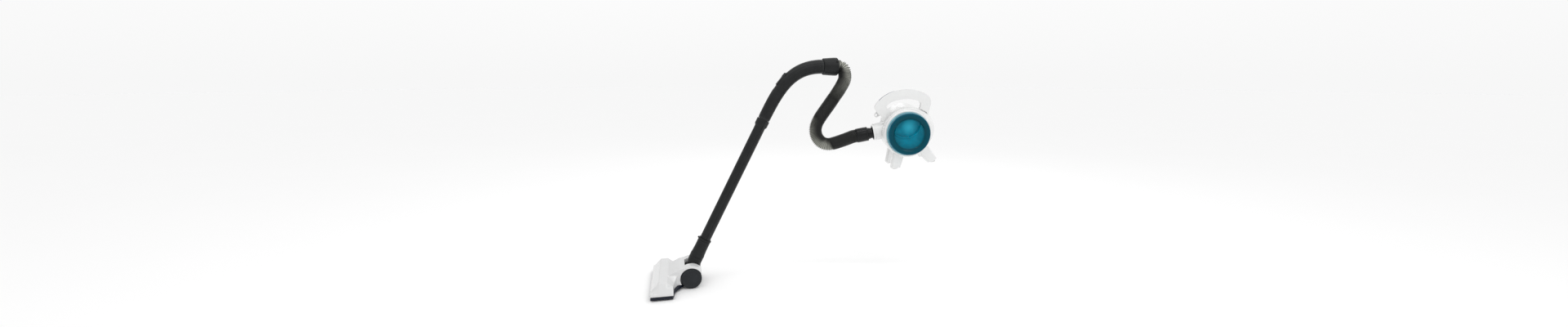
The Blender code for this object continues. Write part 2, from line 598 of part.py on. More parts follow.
def wand():
    top = wand_point(0)
    profile = [(18.5, WAND_TOP), (19.6, WAND_TOP - 1.5), (19.6, WAND_TOP - 20), (WAND_R, WAND_TOP - 24),
               (WAND_R, 16.0), (WAND_BORE, 16.0), (WAND_BORE, WAND_TOP - 4.0)]
    turned("wand_tube", profile, BLACK, WAND, at=top, rotation=ALONG_WAND, steps=24)
    inside = WAND_R + GAP
    collar = [(inside, CUFF_LEN + 5.0), (19.4, CUFF_LEN + 5.0), (20.4, CUFF_LEN + 4),
              (20.4, CUFF_LEN + GAP), (inside, CUFF_LEN + GAP)]
    turned("wand_collar", collar, BLACK, WAND, at=top, rotation=ALONG_WAND, steps=24)
    cuff = [(inside, CUFF_LEN), (19.4, CUFF_LEN), (19.6, 30.0), (21.2, 3.0), (20.6, 0.4),
            (SPIGOT_R + 0.6, 0.4), (SPIGOT_R + 0.6, 15.0), (inside, 15.6)]
    turned("wand_cuff", cuff, BLACK, WAND, at=top, rotation=ALONG_WAND, steps=24)


def elbow():
    drum = rod("elbow", DRUM_R, -SLOT_HALF + GAP, SLOT_HALF - GAP, BLACK, WAND, 32,
               rotation=FACING_FRONT)
    t = math.radians(WAND_LEAN)
    along = Vector((math.cos(t), 0, math.sin(t)))
    seam = wand_point(0)
    lean = math.radians(78)
    stages = [(Vector((6, 0, 8)), Vector((0, 0, 1)), 17.0),
              (Vector((8.0, 0, 24)), Vector((math.cos(lean), 0, math.sin(lean))), 18.6),
              (seam - along * 15, along, 21.0), (seam - along * 1.5, along, 21.2),
              (seam, along, 20.4)]
    neck = loft("elbow_neck", [ring_at(p, d, r, r, 24) for p, d, r in stages], None, WAND, cutter=True)
    cut(drum, neck, "UNION")
    cut(drum, rod("elbow_spigot", SPIGOT_R, -6, 13, None, WAND, 28, True, at=seam, rotation=ALONG_WAND),
        "UNION")
    cut(drum, rod("elbow_bore", ELBOW_BORE, -46, 30, None, WAND, 24, True, at=seam, rotation=ALONG_WAND))
    cut(drum, rod("elbow_mouth", ELBOW_BORE, 0, 40, None, WAND, 24, True, at=(4, 0, 0),
                  rotation=(0, -math.radians(90), 0)))
    cut(drum, rod("elbow_pin_hole", PIN_R + GAP, -40, 40, None, WAND, 20, True, rotation=FACING_FRONT))


# ------------------------------------------------------------- floor head
def head_plan(inset):
    """Plan outline of the floor head: straight front, rounded ends, waisted rear."""
    half = HEAD_HALF - inset
    front = HEAD_FRONT + inset
    rear = HEAD_REAR - inset
    side = [(rear - 2.0, half - 1.0), (rear, half - 8.0), (rear + 2.0, half - 28.0), (rear + 7.0, 72.0),
            (rear + 17.0, 58.0 - inset), (rear + 22.0, 50.0 - inset), (-24.0, 44.0 - inset)]
    left = arc(front + 6.0, half - 6.0, 6.0, 180, 90, 3) + side
    return left + [(x, -y) for x, y in reversed(left)]


def wheel_rooms(thing):
    """Cuts the room for both wheels out of a piece of the head."""
    for side in (-1, 1):
        lo, hi = sorted((side * (WHEEL_IN - 1.2), side * (WHEEL_OUT + 9)))
        name = "%s_room_%d" % (thing.name, side)
        cut(thing, rod(name, WHEEL_R + 2.0, -hi, -lo, None, WAND, 48, True, rotation=FACING_FRONT))


def top_height(x, y):
    """Height of the faceted front body above the wheel axis."""
    across = abs(y)
    end = (HEAD_HALF - across) / 16.0
    slope = -12.0 + 28.0 * min(1.0, max(0.0, end))
    front = -9.0 + (x - HEAD_FRONT) * 1.0
    crown = 16.0 + 0.20 * max(0.0, x + 92.0)
    fall = 16.0 - (x + 70.0) * 0.8 * min(1.0, max(0.0, (across - 50.0) / 20.0)) if x > -70.0 else 99.0
    return min(slope, front, crown, fall)


def floor_head():
    rows = []
    for s in (-1.0, -0.93, -0.85, -0.6, -0.42, 0.0, 0.42, 0.6, 0.85, 0.93, 1.0):
        y = s * HEAD_HALF
        rear = HEAD_REAR + (2.0 if abs(s) < 0.8 else 0.0) + (10.0 if abs(s) < 0.5 else 0.0)
        xs = [HEAD_FRONT, -92.0, -70.0, rear]
        ring = [(HEAD_FRONT, y, COVER_Z), (rear, y, COVER_Z)]
        ring += [(x, y, max(COVER_Z + 3.0, top_height(x, y))) for x in reversed(xs)]
        rows.append(ring)
    cover = loft("head_cover", rows, WHITE, WAND)
    roof = [(-72.0, COVER_Z), (-72.0, 14.0), (-60.0, 20.0), (-46.0, 27.0), (-34.0, 32.5), (-18.5, 35.4)]
    roof += arc(0, 0, ARCH_R, 116, 38, 10)
    roof += [(31.0, 14.0), (27.5, 0.0), (21.0, -13.0), (-40.0, COVER_Z)]
    cut(cover, extruded("neck_block", roof, -50.0, 50.0, None, WAND, True), "UNION")
    cut(cover, block("head_slot", (-18.5, -SLOT_HALF, -60), (80, SLOT_HALF, 80), None, WAND, True))
    cut(cover, rod("drum_room", DRUM_R + 1.0, -SLOT_HALF, SLOT_HALF, None, WAND, 40, True,
                   rotation=FACING_FRONT))
    wheel_rooms(cover)
    cut(cover, block("air_way", (-108.0, -98.0, -40), (-66.0, 98.0, AIR_WAY_TOP), None, WAND, True))
    cut(cover, block("air_neck", (-70.0, -16.0, -40), (-24.0, 16.0, 8.0), None, WAND, True))
    cut(cover, rod("cover_pin_hole", PIN_R + GAP, -60, 60, None, WAND, 20, True, rotation=FACING_FRONT))
    plan = head_plan(1.0)
    base = loft("head_base", [[(x, y, z) for x, y in plan] for z in (BASE_Z, COVER_Z - GAP)], SLATE, WAND)
    cut(base, block("suction_mouth", (*MOUTH[0], -40), (*MOUTH[1], 0), None, WAND, True))
    cut(base, rod("base_drum_room", DRUM_R + 1.0, -60, 60, None, WAND, 40, True, rotation=FACING_FRONT))
    wheel_rooms(base)
    for name, x in BRISTLES:
        block(name, (x - 1.6, -BRISTLE_HALF, -WHEEL_R + 0.2), (x + 1.6, BRISTLE_HALF, BASE_Z - GAP),
              BRISTLE, WAND)


def wheels():
    for name, pin, side in (("wheel_left", "axle_left", -1), ("wheel_right", "axle_right", 1)):
        turn = FACING_FRONT if side < 0 else FACING_REAR
        wheel = [(0.0, WHEEL_OUT - 1.0), (24.0, WHEEL_OUT - 1.0), (26.0, WHEEL_OUT),
                 (WHEEL_R - 2.0, WHEEL_OUT), (WHEEL_R, WHEEL_OUT - 2.5), (WHEEL_R, WHEEL_IN + 1.5),
                 (WHEEL_R - 1.5, WHEEL_IN), (PIN_R + GAP, WHEEL_IN), (PIN_R + GAP, BORE_END),
                 (0.0, BORE_END)]
        turned(name, wheel, SLATE, WAND, rotation=turn, steps=32, ring=False)
        turned(pin, [(0.0, BORE_END - 0.5), (PIN_R, BORE_END - 0.5), (PIN_R, PIN_FROM), (0.0, PIN_FROM)],
               STEEL, WAND, rotation=turn, steps=16, ring=False)


housings()
inlet_port()
dust_cup()
filter_unit()
motor()
exhaust()
handle()
feet()
unit_screws()
hose()
grip()
wand()
elbow()
floor_head()
wheels()
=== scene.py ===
import json
import math
import random

import bmesh
import bpy
from mathutils import Matrix, Vector


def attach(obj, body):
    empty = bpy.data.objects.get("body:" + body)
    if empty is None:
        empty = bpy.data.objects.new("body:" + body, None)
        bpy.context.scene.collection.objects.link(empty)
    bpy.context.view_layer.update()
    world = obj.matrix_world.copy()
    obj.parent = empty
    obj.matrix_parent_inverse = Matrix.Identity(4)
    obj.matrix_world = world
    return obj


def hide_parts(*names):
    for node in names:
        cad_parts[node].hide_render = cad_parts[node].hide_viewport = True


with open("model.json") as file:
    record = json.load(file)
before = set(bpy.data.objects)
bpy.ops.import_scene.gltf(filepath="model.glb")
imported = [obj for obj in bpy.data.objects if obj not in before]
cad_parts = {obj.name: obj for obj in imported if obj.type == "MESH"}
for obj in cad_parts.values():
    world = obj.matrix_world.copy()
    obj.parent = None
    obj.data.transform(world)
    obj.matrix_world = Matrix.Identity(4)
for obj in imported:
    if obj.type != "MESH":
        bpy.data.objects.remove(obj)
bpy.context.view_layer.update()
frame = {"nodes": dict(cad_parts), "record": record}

MM = 0.001
OVAL_STEPS = 112  # points round an oval section
RING_STEPS = 96  # and round the grip or the elbow
SCENE = bpy.context.scene
NODES = frame["nodes"]

# ---- frames of the sub-assemblies
UNIT_AT = Vector((11.2, 0.0, -109.9))
UNIT_TILT = math.radians(11.0)
WAND_AT = Vector((-632.9, -45.0, -540.9))
WAND_YAW = math.radians(12.0)
WAND_LEAN = math.radians(63.0)
UNIT = Matrix.Translation(UNIT_AT * MM) @ Matrix.Rotation(-UNIT_TILT, 4, "Y")
WAND = Matrix.Translation(WAND_AT * MM) @ Matrix.Rotation(WAND_YAW, 4, "Z")
ROW = Matrix.Identity(4)

# ---- cleaner unit
CUP_R = 60.0
FLANGE_R = 61.7  # a thin bead round the cup that meets the front ring
# painted glow: centre of a lighter teal spot painted into the cup's dish
PAINTED_GLOW_AT = (3.0, -78.0, 20.0)  # where light gathers in the cup's dish
RING_R = 68.0
REAR_CX = 16.0
REAR_A = 77.0
REAR_B = 68.0
WALL = 2.8
PORT_X = -40.0
PORT_Y = 8.0
PORT_Z = 12.0
PORT_R = 24.5
PORT_MOUTH = 89.0
CUFF_END = 140.0
HANDLE_W = 26.0
FOOT_Z = -96.0
CORD_Y = 44.0  # the cord's inlet, under the rear housing

# ---- hose, grip and wand
HOSE_R = 20.0
SLEEVE_R = 27.0
SLEEVE_FROM = 412.0
SLEEVE_TO = 457.0
SLEEVE_Z = 622.8
COLLAR_OUT = 1.8
WAND_R = 16.4
WAND_BORE = 14.4
SEAM_AT = (18.4, 51.4)
CUFF_LEN = 56.0
WAND_TOP = 465.5
SCREW_OFF = 15.0  # the sleeve's screws, above and below its axis
GRIP_PULL_LOW = 102.0  # how far the grip's curve runs on along the wand
GRIP_PULL_HIGH = 98.0  # and back from the sleeve
GRIP_R_LOW = 18.2
GRIP_GROW = 3.0  # by how much the grip is thicker at the sleeve
SPIGOT_R = 15.2  # the elbow's end that turns in the cuff
ELBOW_BORE = 12.0
PIN_HOLE_R = 3.3
GAP = 0.3

# ---- floor head
WHEEL_R = 31.0
WHEEL_IN = 39.0
WHEEL_OUT = 51.0
WHEEL_ROOM = 2.0  # clearance round a wheel in the head
AIR_WAY_TOP = -8.0  # ceiling of the air way behind the mouth
HEAD_HALF = 117.0
HEAD_FRONT = -117.0
HEAD_REAR = -52.0
BASE_Z = -27.0
COVER_Z = -18.0
ARCH_R = 39.5
SLOT_HALF = 24.3
DRUM_R = 30.0
FLOOR_Z = (WAND_AT.z - WHEEL_R) * MM

TURN_X = Matrix.Rotation(math.radians(90), 4, "X")  # a turned piece's axis faces the front
TURN_BACK = Matrix.Rotation(math.radians(-90), 4, "X")  # its axis faces the rear
TURN_Y = Matrix.Rotation(math.radians(90), 4, "Y")  # its axis runs along x


# ------------------------------------------------------------------ node helpers
def shader_of(name, color, roughness, metallic=0.0, coat=0.0, specular=0.5):
    mat = bpy.data.materials.new(name)
    mat.use_nodes = True
    shader = mat.node_tree.nodes["Principled BSDF"]
    shader.inputs["Base Color"].default_value = (*color, 1.0)
    shader.inputs["Roughness"].default_value = roughness
    shader.inputs["Metallic"].default_value = metallic
    shader.inputs["Coat Weight"].default_value = coat
    shader.inputs["Coat Roughness"].default_value = 0.06
    shader.inputs["Specular IOR Level"].default_value = specular
    return mat, mat.node_tree, shader


def noise(tree, size, detail=3.0, stretch=(1.0, 1.0, 1.0)):
    """Noise in object space whose features are about size millimetres across."""
    coords = tree.nodes.new("ShaderNodeTexCoord")
    mapping = tree.nodes.new("ShaderNodeMapping")
    mapping.inputs["Scale"].default_value = stretch
    texture = tree.nodes.new("ShaderNodeTexNoise")
    texture.inputs["Scale"].default_value = 1.0 / (size * MM)
    texture.inputs["Detail"].default_value = detail
    tree.links.new(coords.outputs["Object"], mapping.inputs["Vector"])
    tree.links.new(mapping.outputs["Vector"], texture.inputs["Vector"])
    return texture.outputs["Fac"]


def mapped(tree, value, low, high, to_low, to_high):
    node = tree.nodes.new("ShaderNodeMapRange")
    for socket, number in zip(node.inputs[1:5], (low, high, to_low, to_high)):
        socket.default_value = number
    tree.links.new(value, node.inputs["Value"])
    return node.outputs["Result"]


def mixed(tree, share, first, second):
    """A colour mix; each end is a colour or another node's colour output."""
    node = tree.nodes.new("ShaderNodeMix")
    node.data_type = "RGBA"
    tree.links.new(share, node.inputs["Factor"])
    for socket, end in ((node.inputs[6], first), (node.inputs[7], second)):
        if isinstance(end, tuple):
            socket.default_value = (*end, 1.0)
        else:
            tree.links.new(end, socket)
    return node.outputs[2]


def bumped(tree, shader, height, depth):
    """Bump of about depth millimetres."""
    node = tree.nodes.new("ShaderNodeBump")
    node.inputs["Strength"].default_value = 0.5
    node.inputs["Distance"].default_value = depth * MM
    tree.links.new(height, node.inputs["Height"])
    tree.links.new(node.outputs["Normal"], shader.inputs["Normal"])


def toned(color, factor):
    return tuple(min(1.0, c * factor) for c in color)


def plastic(name, color, roughness, mottle=0.06, grain=0.0, grain_size=0.5, coat=0.0, rubbed=None,
            specular=0.5):
    """Moulded plastic: faint mottling, uneven gloss, fine grain, and edges rubbed by use."""
    mat, tree, shader = shader_of(name, color, roughness, coat=coat, specular=specular)
    cloud = mapped(tree, noise(tree, 28.0), 0.3, 0.7, 0.0, 1.0)
    tone = mixed(tree, cloud, toned(color, 1.0 - mottle), toned(color, 1.0 + mottle))
    if rubbed:
        geometry = tree.nodes.new("ShaderNodeNewGeometry")
        edge = mapped(tree, geometry.outputs["Pointiness"], 0.53, 0.60, 0.0, 0.7)
        tone = mixed(tree, edge, tone, rubbed)
    tree.links.new(tone, shader.inputs["Base Color"])
    gloss = mapped(tree, noise(tree, 9.0, 5.0), 0.3, 0.7, roughness * 0.88, roughness * 1.14)
    tree.links.new(gloss, shader.inputs["Roughness"])
    if grain:
        bumped(tree, shader, noise(tree, grain_size, 2.0), grain)
    return mat


def hose_plastic():
    """Near-black ribs; where a bend pulls the folds open, a pale grey painted highlight is laid on their
    walls.
    """
    # painted highlight: pale grey mixed in where bends pull the folds open
    dark, painted_highlight_grey = (0.013, 0.0133, 0.0128), (0.44, 0.445, 0.40)
    mat, tree, shader = shader_of("corrugated_plastic", dark, 0.42, specular=0.18)
    painted_highlight = tree.nodes.new("ShaderNodeAttribute")
    painted_highlight.attribute_name = "painted_fold_highlight"
    tone = mixed(tree, noise(tree, 6.0), toned(dark, 0.8), toned(dark, 1.5))
    tree.links.new(mixed(tree, painted_highlight.outputs["Fac"], tone, painted_highlight_grey), shader.inputs["Base Color"])
    gloss = mapped(tree, noise(tree, 5.0), 0.3, 0.7, 0.36, 0.5)
    tree.links.new(gloss, shader.inputs["Roughness"])
    return mat


def teal_clear():
    """Tinted clear plastic, coloured by distance from the cup's axis: a painted reflection lightens the
    dish's middle, the annulus is deep teal, a pale cyan painted highlight lines the rim, and a painted glow
    lightens the upper middle of the dish.
    """
    mat, tree, shader = shader_of("tinted_clear", (0.004, 0.13, 0.2), 0.08, specular=0.06)
    shader.inputs["Transmission Weight"].default_value = 0.12
    shader.inputs["IOR"].default_value = 1.49
    coords = tree.nodes.new("ShaderNodeTexCoord")
    shift = tree.nodes.new("ShaderNodeVectorMath")
    shift.operation = "SUBTRACT"
    shift.inputs[1].default_value = UNIT_AT * MM
    flat = tree.nodes.new("ShaderNodeVectorMath")
    flat.operation = "MULTIPLY"
    flat.inputs[1].default_value = (1.0, 0.0, 1.0)
    length = tree.nodes.new("ShaderNodeVectorMath")
    length.operation = "LENGTH"
    tree.links.new(coords.outputs["Object"], shift.inputs[0])
    tree.links.new(shift.outputs["Vector"], flat.inputs[0])
    tree.links.new(flat.outputs["Vector"], length.inputs[0])
    # painted light by distance from the axis: a painted reflection lightens the dish's middle, the annulus is
    # deep teal, a pale cyan painted highlight lines the rim
    painted_light_ramp = tree.nodes.new("ShaderNodeValToRGB")
    painted_light_stops = [(0.0, (0.0005, 0.29, 0.43)), (0.35, (0.0005, 0.25, 0.37)), (0.64, (0.0003, 0.17, 0.25)),
             (0.715, (0.0003, 0.062, 0.086)), (0.90, (0.0003, 0.068, 0.10)), (0.966, (0.0005, 0.10, 0.17)),
             (0.985, (0.30, 0.68, 0.78)), (1.0, (0.42, 0.78, 0.86))]
    painted_light_ramp.color_ramp.elements[0].color = (*painted_light_stops[0][1], 1.0)
    painted_light_ramp.color_ramp.elements[1].color = (*painted_light_stops[-1][1], 1.0)
    for place, color in painted_light_stops[1:-1]:
        painted_light_ramp.color_ramp.elements.new(place).color = (*color, 1.0)
    share = mapped(tree, length.outputs["Value"], 0.0, FLANGE_R * MM, 0.0, 1.0)
    tree.links.new(share, painted_light_ramp.inputs["Fac"])
    cloud = mapped(tree, noise(tree, 22.0, 4.0), 0.35, 0.75, 0.0, 0.45)
    tone = mixed(tree, cloud, painted_light_ramp.outputs["Color"], (0.0005, 0.06, 0.10))
    # painted glow: a lighter teal spot painted in the upper middle of the dish
    painted_glow_distance = tree.nodes.new("ShaderNodeVectorMath")
    painted_glow_distance.operation = "DISTANCE"
    painted_glow_distance.inputs[1].default_value = UNIT @ (Vector(PAINTED_GLOW_AT) * MM)
    tree.links.new(coords.outputs["Object"], painted_glow_distance.inputs[0])
    painted_glow_share = mapped(tree, painted_glow_distance.outputs["Value"], 4.0 * MM, 24.0 * MM, 0.6, 0.0)
    tree.links.new(mixed(tree, painted_glow_share, tone, (0.04, 0.42, 0.56)), shader.inputs["Base Color"])
    gloss = mapped(tree, noise(tree, 4.0, 6.0), 0.3, 0.7, 0.05, 0.13)
    tree.links.new(gloss, shader.inputs["Roughness"])
    return mat


def brushed_steel():
    color = (0.55, 0.56, 0.57)
    mat, tree, shader = shader_of("brushed_steel", color, 0.32, metallic=1.0)
    streak = noise(tree, 1.2, 6.0, (1.0, 0.04, 1.0))
    tree.links.new(mixed(tree, streak, toned(color, 0.75), toned(color, 1.2)), shader.inputs["Base Color"])
    tree.links.new(mapped(tree, streak, 0.3, 0.7, 0.24, 0.42), shader.inputs["Roughness"])
    bumped(tree, shader, streak, 0.02)
    return mat


def fibre(name, color, size, depth, stretch):
    """Fleece, pleated paper or nylon bristle: matt, with a fibrous relief."""
    mat, tree, shader = shader_of(name, color, 0.9)
    strands = noise(tree, size, 8.0, stretch)
    tree.links.new(mixed(tree, strands, toned(color, 0.7), toned(color, 1.2)), shader.inputs["Base Color"])
    tree.links.new(mapped(tree, strands, 0.3, 0.7, 0.8, 0.98), shader.inputs["Roughness"])
    bumped(tree, shader, strands, depth)
    return mat


RUBBED = (0.045, 0.046, 0.048)
WHITE = plastic("gloss_white", (0.80, 0.803, 0.80), 0.22, 0.012, coat=0.3)
# painted shade: a darker copy of the gloss white, so the floor head reads greyer than the body
SHADED_HEAD_WHITE = plastic("shaded_head_white", (0.68, 0.682, 0.683), 0.2, 0.012, coat=0.4)
TEAL = teal_clear()
BLACK = plastic("satin_black", (0.0125, 0.0135, 0.014), 0.40, 0.18, 0.03, 0.45, rubbed=RUBBED,
                specular=0.2)
CUFF_BLACK = plastic("gloss_black", (0.007, 0.0075, 0.008), 0.2, 0.15, 0.01, 0.6, rubbed=RUBBED,
                     specular=0.22)
SLATE = plastic("matt_slate", (0.019, 0.0215, 0.0245), 0.46, 0.12, 0.03, 0.4, rubbed=(0.05, 0.053, 0.057),
                specular=0.2)
NAVY = plastic("navy_black", (0.006, 0.009, 0.019), 0.3, 0.2, 0.02, 0.5, specular=0.25)
BLUE = plastic("switch_blue", (0.004, 0.022, 0.085), 0.22, 0.15, specular=0.35)
HOSE = hose_plastic()
RUBBER = plastic("matt_rubber", (0.016, 0.016, 0.017), 0.78, 0.2, 0.06, 0.3, specular=0.3)
PAD = plastic("pale_rubber", (0.68, 0.68, 0.67), 0.7, 0.05, 0.05, 0.3, specular=0.3)
STEEL = brushed_steel()
PAPER = fibre("filter_fleece", (0.72, 0.70, 0.62), 0.6, 0.15, (1.0, 1.0, 1.0))
NYLON = fibre("nylon_bristle", (0.035, 0.035, 0.04), 0.35, 0.1, (1.0, 1.0, 0.08))


# ------------------------------------------------------------------ mesh helpers
def loose(bm):
    """A plain object in millimetres for a modifier to work on."""
    mesh = bpy.data.meshes.new("operand")
    bm.to_mesh(mesh)
    bm.free()
    thing = bpy.data.objects.new("operand", mesh)
    SCENE.collection.objects.link(thing)
    return thing


def baked(thing, *others):
    """The evaluated mesh of a plain object as a bmesh; the objects are removed."""
    bpy.context.view_layer.update()
    result = bmesh.new()
    result.from_object(thing, bpy.context.evaluated_depsgraph_get())
    for each in (thing, *others):
        bpy.data.objects.remove(each)
    return result


def combined(base, tool, operation="DIFFERENCE"):
    thing, other = loose(base), loose(tool)
    mod = thing.modifiers.new("boolean", "BOOLEAN")
    mod.operation = operation
    mod.object = other
    mod.solver = "EXACT"
    return baked(thing, other)


def bevelled(bm, width, segments=4, angle=30):
    thing = loose(bm)
    mod = thing.modifiers.new("bevel", "BEVEL")
    mod.width = width
    mod.segments = segments
    mod.limit_method = "ANGLE"
    mod.angle_limit = math.radians(angle)
    return baked(thing)


def softened(bm, voxel, rounds):
    """One continuous moulded skin with softly rounded edges and inner corners."""
    thing = loose(bm)
    remesh = thing.modifiers.new("remesh", "REMESH")
    remesh.mode = "VOXEL"
    remesh.voxel_size = voxel
    smooth = thing.modifiers.new("smooth", "SMOOTH")
    smooth.factor = 0.5
    smooth.iterations = rounds
    return baked(thing)


def piece(name, bm, mat, body, place, nodes=(), sharp=32):
    """Puts a bmesh in millimetres into the row frame as a piece that rides on a body."""
    bmesh.ops.recalc_face_normals(bm, faces=bm.faces)
    mesh = bpy.data.meshes.new(name)
    bm.to_mesh(mesh)
    bm.free()
    mesh.transform(place @ Matrix.Scale(MM, 4))
    mesh.shade_smooth()
    mesh.set_sharp_from_angle(angle=math.radians(sharp))
    mesh.materials.append(mat)
    thing = bpy.data.objects.new(name, mesh)
    SCENE.collection.objects.link(thing)
    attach(thing, body)
    if nodes:
        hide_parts(*nodes)
    return thing


def moved(bm, matrix):
    bmesh.ops.transform(bm, matrix=matrix, verts=bm.verts)
    return bm


def joined(*parts):
    """Several bmeshes as one, each staying its own closed skin."""
    whole = bmesh.new()
    for part in parts:
        mesh = bpy.data.meshes.new("part")
        part.to_mesh(mesh)
        part.free()
        whole.from_mesh(mesh)
        bpy.data.meshes.remove(mesh)
    return whole


def block(lo, hi):
    bm = bmesh.new()
    bmesh.ops.create_cube(bm, size=1.0)
    lo, hi = Vector(lo), Vector(hi)
    bmesh.ops.scale(bm, vec=hi - lo, verts=bm.verts)
    bmesh.ops.translate(bm, vec=(lo + hi) / 2, verts=bm.verts)
    return bm


def rod(radius, lo, hi, steps=64, top=None):
    bm = bmesh.new()
    bmesh.ops.create_cone(bm, cap_ends=True, segments=steps, radius1=radius,
                          radius2=radius if top is None else top, depth=hi - lo)
    bmesh.ops.translate(bm, vec=(0, 0, (lo + hi) / 2), verts=bm.verts)
    return bm


def rounded(points, radius, steps=4, closed=True, size=2):
    """A polyline with arcs at its corners; one number more than size is that corner's radius."""
    out = []
    for i, point in enumerate(points):
        here = Vector(point[:size])
        if not closed and i in (0, len(points) - 1):
            out.append(here)
            continue
        back = Vector(points[i - 1][:size]) - here
        ahead = Vector(points[(i + 1) % len(points)][:size]) - here
        half = back.angle(ahead) / 2
        own = point[size] if len(point) > size else radius
        reach = min(own / math.tan(half), back.length * 0.48, ahead.length * 0.48)
        if half > math.radians(88) or reach < 0.01:
            out.append(here)
            continue
        back, ahead = back.normalized(), ahead.normalized()
        centre = here + (back + ahead).normalized() * (reach / math.cos(half))
        first, last = here + back * reach - centre, here + ahead * reach - centre
        sweep = first.angle(last)
        for k in range(steps + 1):
            t = k / steps
            arm = (first * math.sin((1 - t) * sweep) + last * math.sin(t * sweep)) / math.sin(sweep)
            out.append(centre + arm)
    return out


def skin(rows, closed=False, caps=True):
    """Quads between rows of points of equal count; a row of one point is a pole."""
    bm = bmesh.new()
    made = [[bm.verts.new(p) for p in row] for row in rows]
    pairs = list(zip(made, made[1:]))
    if closed:
        pairs.append((made[-1], made[0]))
    for a, b in pairs:
        count = max(len(a), len(b))
        for i in range(count):
            j = (i + 1) % count
            corners = [a[i % len(a)], a[j % len(a)], b[j % len(b)], b[i % len(b)]]
            bm.faces.new(list(dict.fromkeys(corners)))
    if caps and not closed:
        for row in (made[0], made[-1]):
            if len(row) > 2:
                bm.faces.new(row)
    return bm


def turned(profile, steps=112):
    """A turned skin round z: a closed loop of (radius, height), or a line from pole to pole."""
    rows = []
    for r, z in profile:
        if r < 0.01:
            rows.append([(0, 0, z)])
        else:
            rows.append([(r * math.cos(2 * math.pi * i / steps), r * math.sin(2 * math.pi * i / steps), z)
                         for i in range(steps)])
    return skin(rows, closed=len(rows[0]) > 1, caps=False)


def prism(outline, lo, hi):
    """An outline of (x, z) points, extruded along y."""
    return skin([[(x, y, z) for x, z in outline] for y in (lo, hi)])


def smooth_line(points, per_span):
    """Catmull-Rom points through a list of points."""
    pts = [Vector(p) for p in points]
    pts = [2 * pts[0] - pts[1]] + pts + [2 * pts[-1] - pts[-2]]
    out = []
    for i in range(1, len(pts) - 2):
        p0, p1, p2, p3 = pts[i - 1: i + 3]
        for s in range(per_span):
            t = s / per_span
            out.append(0.5 * (2 * p1 + (p2 - p0) * t + (2 * p0 - 5 * p1 + 4 * p2 - p3) * t * t
                              + (3 * p1 - p0 - 3 * p2 + p3) * t ** 3))
    out.append(pts[-2])
    return out


def arc(cx, cz, radius, start, end, steps):
    turns = [math.radians(start + (end - start) * i / steps) for i in range(steps + 1)]
    return [(cx + radius * math.cos(t), cz + radius * math.sin(t)) for t in turns]


def eased(value):
    value = min(1.0, max(0.0, value))
    return value * value * (3 - 2 * value)


# ------------------------------------------------------------------ cleaner unit
def oval(y, cx, a, b):
    turns = [2 * math.pi * i / OVAL_STEPS for i in range(OVAL_STEPS)]
    return [(cx + a * math.cos(t), y, b * math.sin(t)) for t in turns]


def seat_tool(lo, hi):
    """The rear housing's outer form, to cut the pieces that stand on it."""
    return skin([oval(y, REAR_CX, REAR_A + GAP, REAR_B + GAP) for y in (lo, hi)])


def front_shell():
    profile = rounded([(62.0, 66.0, 1.0), (65.5, 66.2, 1.6), (RING_R, 63.0, 2.4), (RING_R, 44.4, 0.2),
                       (67.2, 44.0, 0.2), (67.2, 42.6, 0.2), (RING_R, 42.2, 0.2), (RING_R, 38.0, 12.0),
                       (66.6, 20.3, 0.5), (63.0, 20.3), (63.0, 24.0), (57.0, 24.0), (57.0, 27.5),
                       (62.0, 27.5)], 0.3)
    ring = turned(profile, 144)
    dot = rounded([(0.0, 0.5), (1.6, 0.5, 0.3), (1.8, -1.0), (0.0, -1.0)], 0.3, closed=False)
    mark = moved(turned(dot, 24), Matrix.Translation((0, 63.8, 66.2)))
    piece("front_shell", moved(joined(ring, mark), TURN_X), WHITE, "cleaner", UNIT,
          ["front_housing"])


def rear_shell():
    """Oval motor housing with a parting groove behind the front ring."""
    deep = 2.2
    sections = [(-20.0, 8.0, 70.0, 66.0), (-12.0, 15.4, 76.2, 67.6), (-2.0, REAR_CX, REAR_A, REAR_B),
                (7.6, REAR_CX, REAR_A, REAR_B, 0.3), (8.2, REAR_CX, REAR_A - deep, REAR_B - deep, 0.3),
                (10.8, REAR_CX, REAR_A - deep, REAR_B - deep, 0.3), (11.6, REAR_CX, REAR_A, REAR_B, 0.5),
                (56.0, REAR_CX, REAR_A, REAR_B), (74.0, REAR_CX, 73.0, 63.5), (84.0, REAR_CX, 65.0, 56.0),
                (88.0, REAR_CX, 59.0, 50.0, 1.0)]
    outer = rounded(sections, 14.0, 5, closed=False, size=4)
    inner = [(s[0], s[1], s[2] - WALL - 0.2, s[3] - WALL - 0.2)
             for s in reversed(sections) if abs(s[0] - 9.5) > 2.5]
    inner[-1] = (-18.5, *inner[-1][1:])
    lip = [(-18.5, 2.0, 60.5, 60.5), (-20.0, 2.0, 60.5, 60.5)]
    shell = skin([oval(*s) for s in outer + inner + lip], closed=True)
    at = Matrix.Translation((PORT_X, PORT_Y, PORT_Z)) @ TURN_Y.inverted()
    hole = moved(rod(PORT_R + 1.8, -20, 40), at)
    piece("rear_shell", combined(shell, hole), WHITE, "cleaner", UNIT, ["rear_housing"])


def inlet_socket():
    profile = rounded([(20.5, 49.0, 0.6), (PORT_R - 0.6, 49.0, 1.2), (PORT_R, 47.0, 1.0), (PORT_R, 43.6, 0.2),
                       (PORT_R - 0.7, 43.2, 0.2), (PORT_R - 0.7, 42.0, 0.2), (PORT_R + 0.1, 41.6, 0.2),
                       (PORT_R + 1.0, 18.0, 8.0), (PORT_R + 1.5, 15.0, 1.0), (PORT_R + 1.5, 2.0),
                       (20.5, 2.0)],
                      0.4)
    key = bevelled(block((PORT_R - 1.0, -4.5, 22.0), (PORT_R + 1.9, 4.5, 46.0)), 1.2)
    socket = combined(turned(profile), key, "UNION")
    at = Matrix.Translation((PORT_X, PORT_Y, PORT_Z)) @ TURN_Y.inverted()
    piece("inlet_socket", moved(socket, at), WHITE, "cleaner", UNIT, ["inlet_port"])


